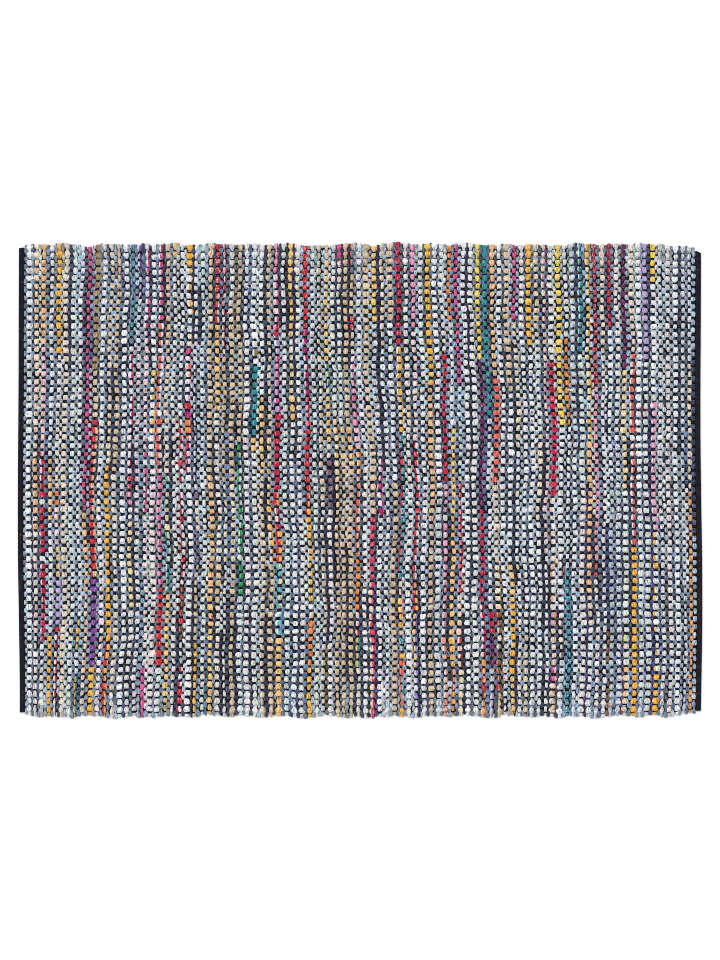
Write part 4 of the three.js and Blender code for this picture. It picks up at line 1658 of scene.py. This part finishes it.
def rag_ends(rug):
    """Folded ends of rags: the lumps, which lie along their pick, and small ones that chance turns out."""
    rng, layout = rug.rng, rug.layout
    chance_pick = rng.integers(2, rug.weave.picks - 2, rug.ends.flaps)
    chance_bundle = rng.integers(2, rug.weave.bundles // 2 - 2, rug.ends.flaps) * 2 + (chance_pick + 1) % 2
    pick = np.concatenate(([pick for pick, _, _ in LUMPS], chance_pick))
    bundle = np.concatenate(([bundle for _, bundle, _ in LUMPS], chance_bundle))
    count, steps = len(pick), len(END_FORM)
    lump = np.arange(count) < len(LUMPS)
    side = rng.choice([-1.0, 1.0], count)
    across = np.where(side > 0, 0.0, math.pi) + rng.normal(0, FLAP["fan"], count)
    along = rng.choice([-1.0, 1.0], count) * TURN / 4 + rng.normal(0, LUMP["fan"], count)
    heading = np.where(lump, along, across)[:, None]
    reach = np.where(lump, rng.uniform(*LUMP["reach"], count), rng.uniform(*FLAP["reach"], count))
    gone = reach[:, None] * MM * (np.linspace(0, 1, steps) - np.where(lump, 0.5, 0.0)[:, None])
    away = np.where(lump, LUMP["away"], FLAP["away"]) * side * MM
    paths = np.zeros((count, steps, 3))
    paths[..., 0] = (layout.centres[pick] + away)[:, None] + np.cos(heading) * gone
    paths[..., 1] = layout.bundles[bundle][:, None] + np.sin(heading) * gone
    height = rug.height(paths)
    paths[..., 2] = height + FLAP["rise"] * MM
    paths[lump, :, 2] = np.maximum(height[lump], WEAVE_HEIGHT - 1.2 * MM) + LUMP["rise"] * MM
    widths = np.where(lump, rng.uniform(*LUMP["width"], count), rng.uniform(*FLAP["width"], count))
    radii = widths[:, None] * MM * np.array(END_FORM)
    denim, cotton = rug.colours(count, DENIM_ENDS), rug.colours(count, COTTON_ENDS)
    colours = np.where(pick[:, None] % 2 == 0, denim, cotton)
    colours[lump] = [tuple(getattr(rug.cloths, cloth)) for _, _, cloth in LUMPS]
    return layout.lay(paths), radii, colours


class RUG_OT_loose_threads(bpy.types.Operator):
    """Scatter loose threads, tangles and frayed edges"""

    bl_idname = "rug.loose_threads"
    bl_label = "Loose threads"

    def execute(self, context):
        rug = Rug(context, "loose_threads")
        yarn = yarn_material("loose_yarn")
        place_yarns("loose_threads", loose_threads(rug), yarn, "cotton_rag")
        place_yarns("tangles", tangles(rug), yarn, "denim_rag")
        place_yarns("frayed_edges", frayed_edges(rug), yarn, "cotton_rag")
        return {"FINISHED"}


class RUG_OT_flaps(bpy.types.Operator):
    """Fold out the ends of some rags beside the weave"""

    bl_idname = "rug.flaps"
    bl_label = "Rag ends"

    def execute(self, context):
        ends = rag_ends(Rug(context, "rag_ends"))
        place_yarns("rag_ends", ends, yarn_material("rag_end_cloth"), "cotton_rag", sides=6, flatten=0.3)
        return {"FINISHED"}


# The stage


def lay_floor(scene):
    form = bmesh.new()
    bmesh.ops.create_grid(form, x_segments=1, y_segments=1, size=40)
    bmesh.ops.translate(form, verts=form.verts, vec=(0, 0, -0.2 * MM))
    mesh = bpy.data.meshes.new("floor")
    form.to_mesh(mesh)
    form.free()
    finish = Finish("pale_floor")
    finish.connect(finish.shader, "Base Color", colour(tuple(scene.rug_colours.floor)))
    finish.connect(finish.shader, "Roughness", 0.9)
    finish.connect(finish.shader, "Specular IOR Level", 0.1)
    mesh.materials.append(finish.material)
    floor = bpy.data.objects.new("floor", mesh)
    scene.collection.objects.link(floor)


def light_evenly(scene):
    world = bpy.data.worlds.new("even_light")
    world.use_nodes = True
    sky = world.node_tree.nodes["Background"]
    sky.inputs["Color"].default_value = (1, 1, 1, 1)
    sky.inputs["Strength"].default_value = scene.rug_stage.sky
    scene.world = world
    lamp = bpy.data.lights.new("soft_lamp", "SUN")
    lamp.energy = scene.rug_stage.lamp
    lamp.angle = math.radians(28)
    sun = bpy.data.objects.new("soft_lamp", lamp)
    sun.rotation_euler = (math.radians(-28), math.radians(-30), 0)
    scene.collection.objects.link(sun)


def look_down(scene):
    """Puts the camera over the rug as in the photo, whose middle is a little off the rug's."""
    stage = scene.rug_stage
    lens = bpy.data.cameras.new("camera")
    lens.lens = stage.lens
    lens.clip_end = 200
    camera = bpy.data.objects.new("camera", lens)
    away = stage.view_height * stage.lens / lens.sensor_width
    centre = (RUG_CENTRE_ROW - PHOTO_HEIGHT / 2) * PHOTO_PIXEL
    camera.location = (0, centre, away + WEAVE_HEIGHT / 2)
    scene.collection.objects.link(camera)
    scene.camera = camera
    scene.view_settings.view_transform = "Standard"
    scene.cycles.filter_width = 0.85


class RUG_OT_stage(bpy.types.Operator):
    """Lay a plain pale floor, light it evenly and look straight down"""

    bl_idname = "rug.stage"
    bl_label = "Stage"

    def execute(self, context):
        lay_floor(context.scene)
        light_evenly(context.scene)
        look_down(context.scene)
        return {"FINISHED"}


class RUG_PT_panel(bpy.types.Panel):
    """Lists the rug's pieces and what can be changed"""

    bl_idname = "RUG_PT_panel"
    bl_label = "Rag rug"
    bl_space_type = "VIEW_3D"
    bl_region_type = "UI"
    bl_category = "Rag rug"

    def draw(self, context):
        for group in GROUPS:
            settings = getattr(context.scene, group)
            for name in settings.__annotations__:
                self.layout.prop(settings, name)
        for operator in OPERATORS:
            self.layout.operator(operator.bl_idname)


OPERATORS = (
    RUG_OT_denim_rags, RUG_OT_cotton_rags, RUG_OT_warp, RUG_OT_end_tapes, RUG_OT_loose_threads, RUG_OT_flaps,
    RUG_OT_stage,
)
GROUPS = {
    "rug_weave": RugWeave, "rug_loose_ends": RugLooseEnds, "rug_stage": RugStage, "rug_colours": RugColours,
}


def register():
    for cls in (*GROUPS.values(), *OPERATORS, RUG_PT_panel):
        bpy.utils.register_class(cls)
    for name, group in GROUPS.items():
        setattr(bpy.types.Scene, name, PointerProperty(type=group))


def unregister():
    for name in GROUPS:
        delattr(bpy.types.Scene, name)
    for cls in (RUG_PT_panel, *OPERATORS, *GROUPS.values()):
        bpy.utils.unregister_class(cls)


def main():
    register()
    bpy.ops.rug.denim_rags()
    bpy.ops.rug.cotton_rags()
    bpy.ops.rug.warp()
    bpy.ops.rug.end_tapes()
    bpy.ops.rug.loose_threads()
    bpy.ops.rug.flaps()
    bpy.ops.rug.stage()


if __name__ == "__main__":
    main()
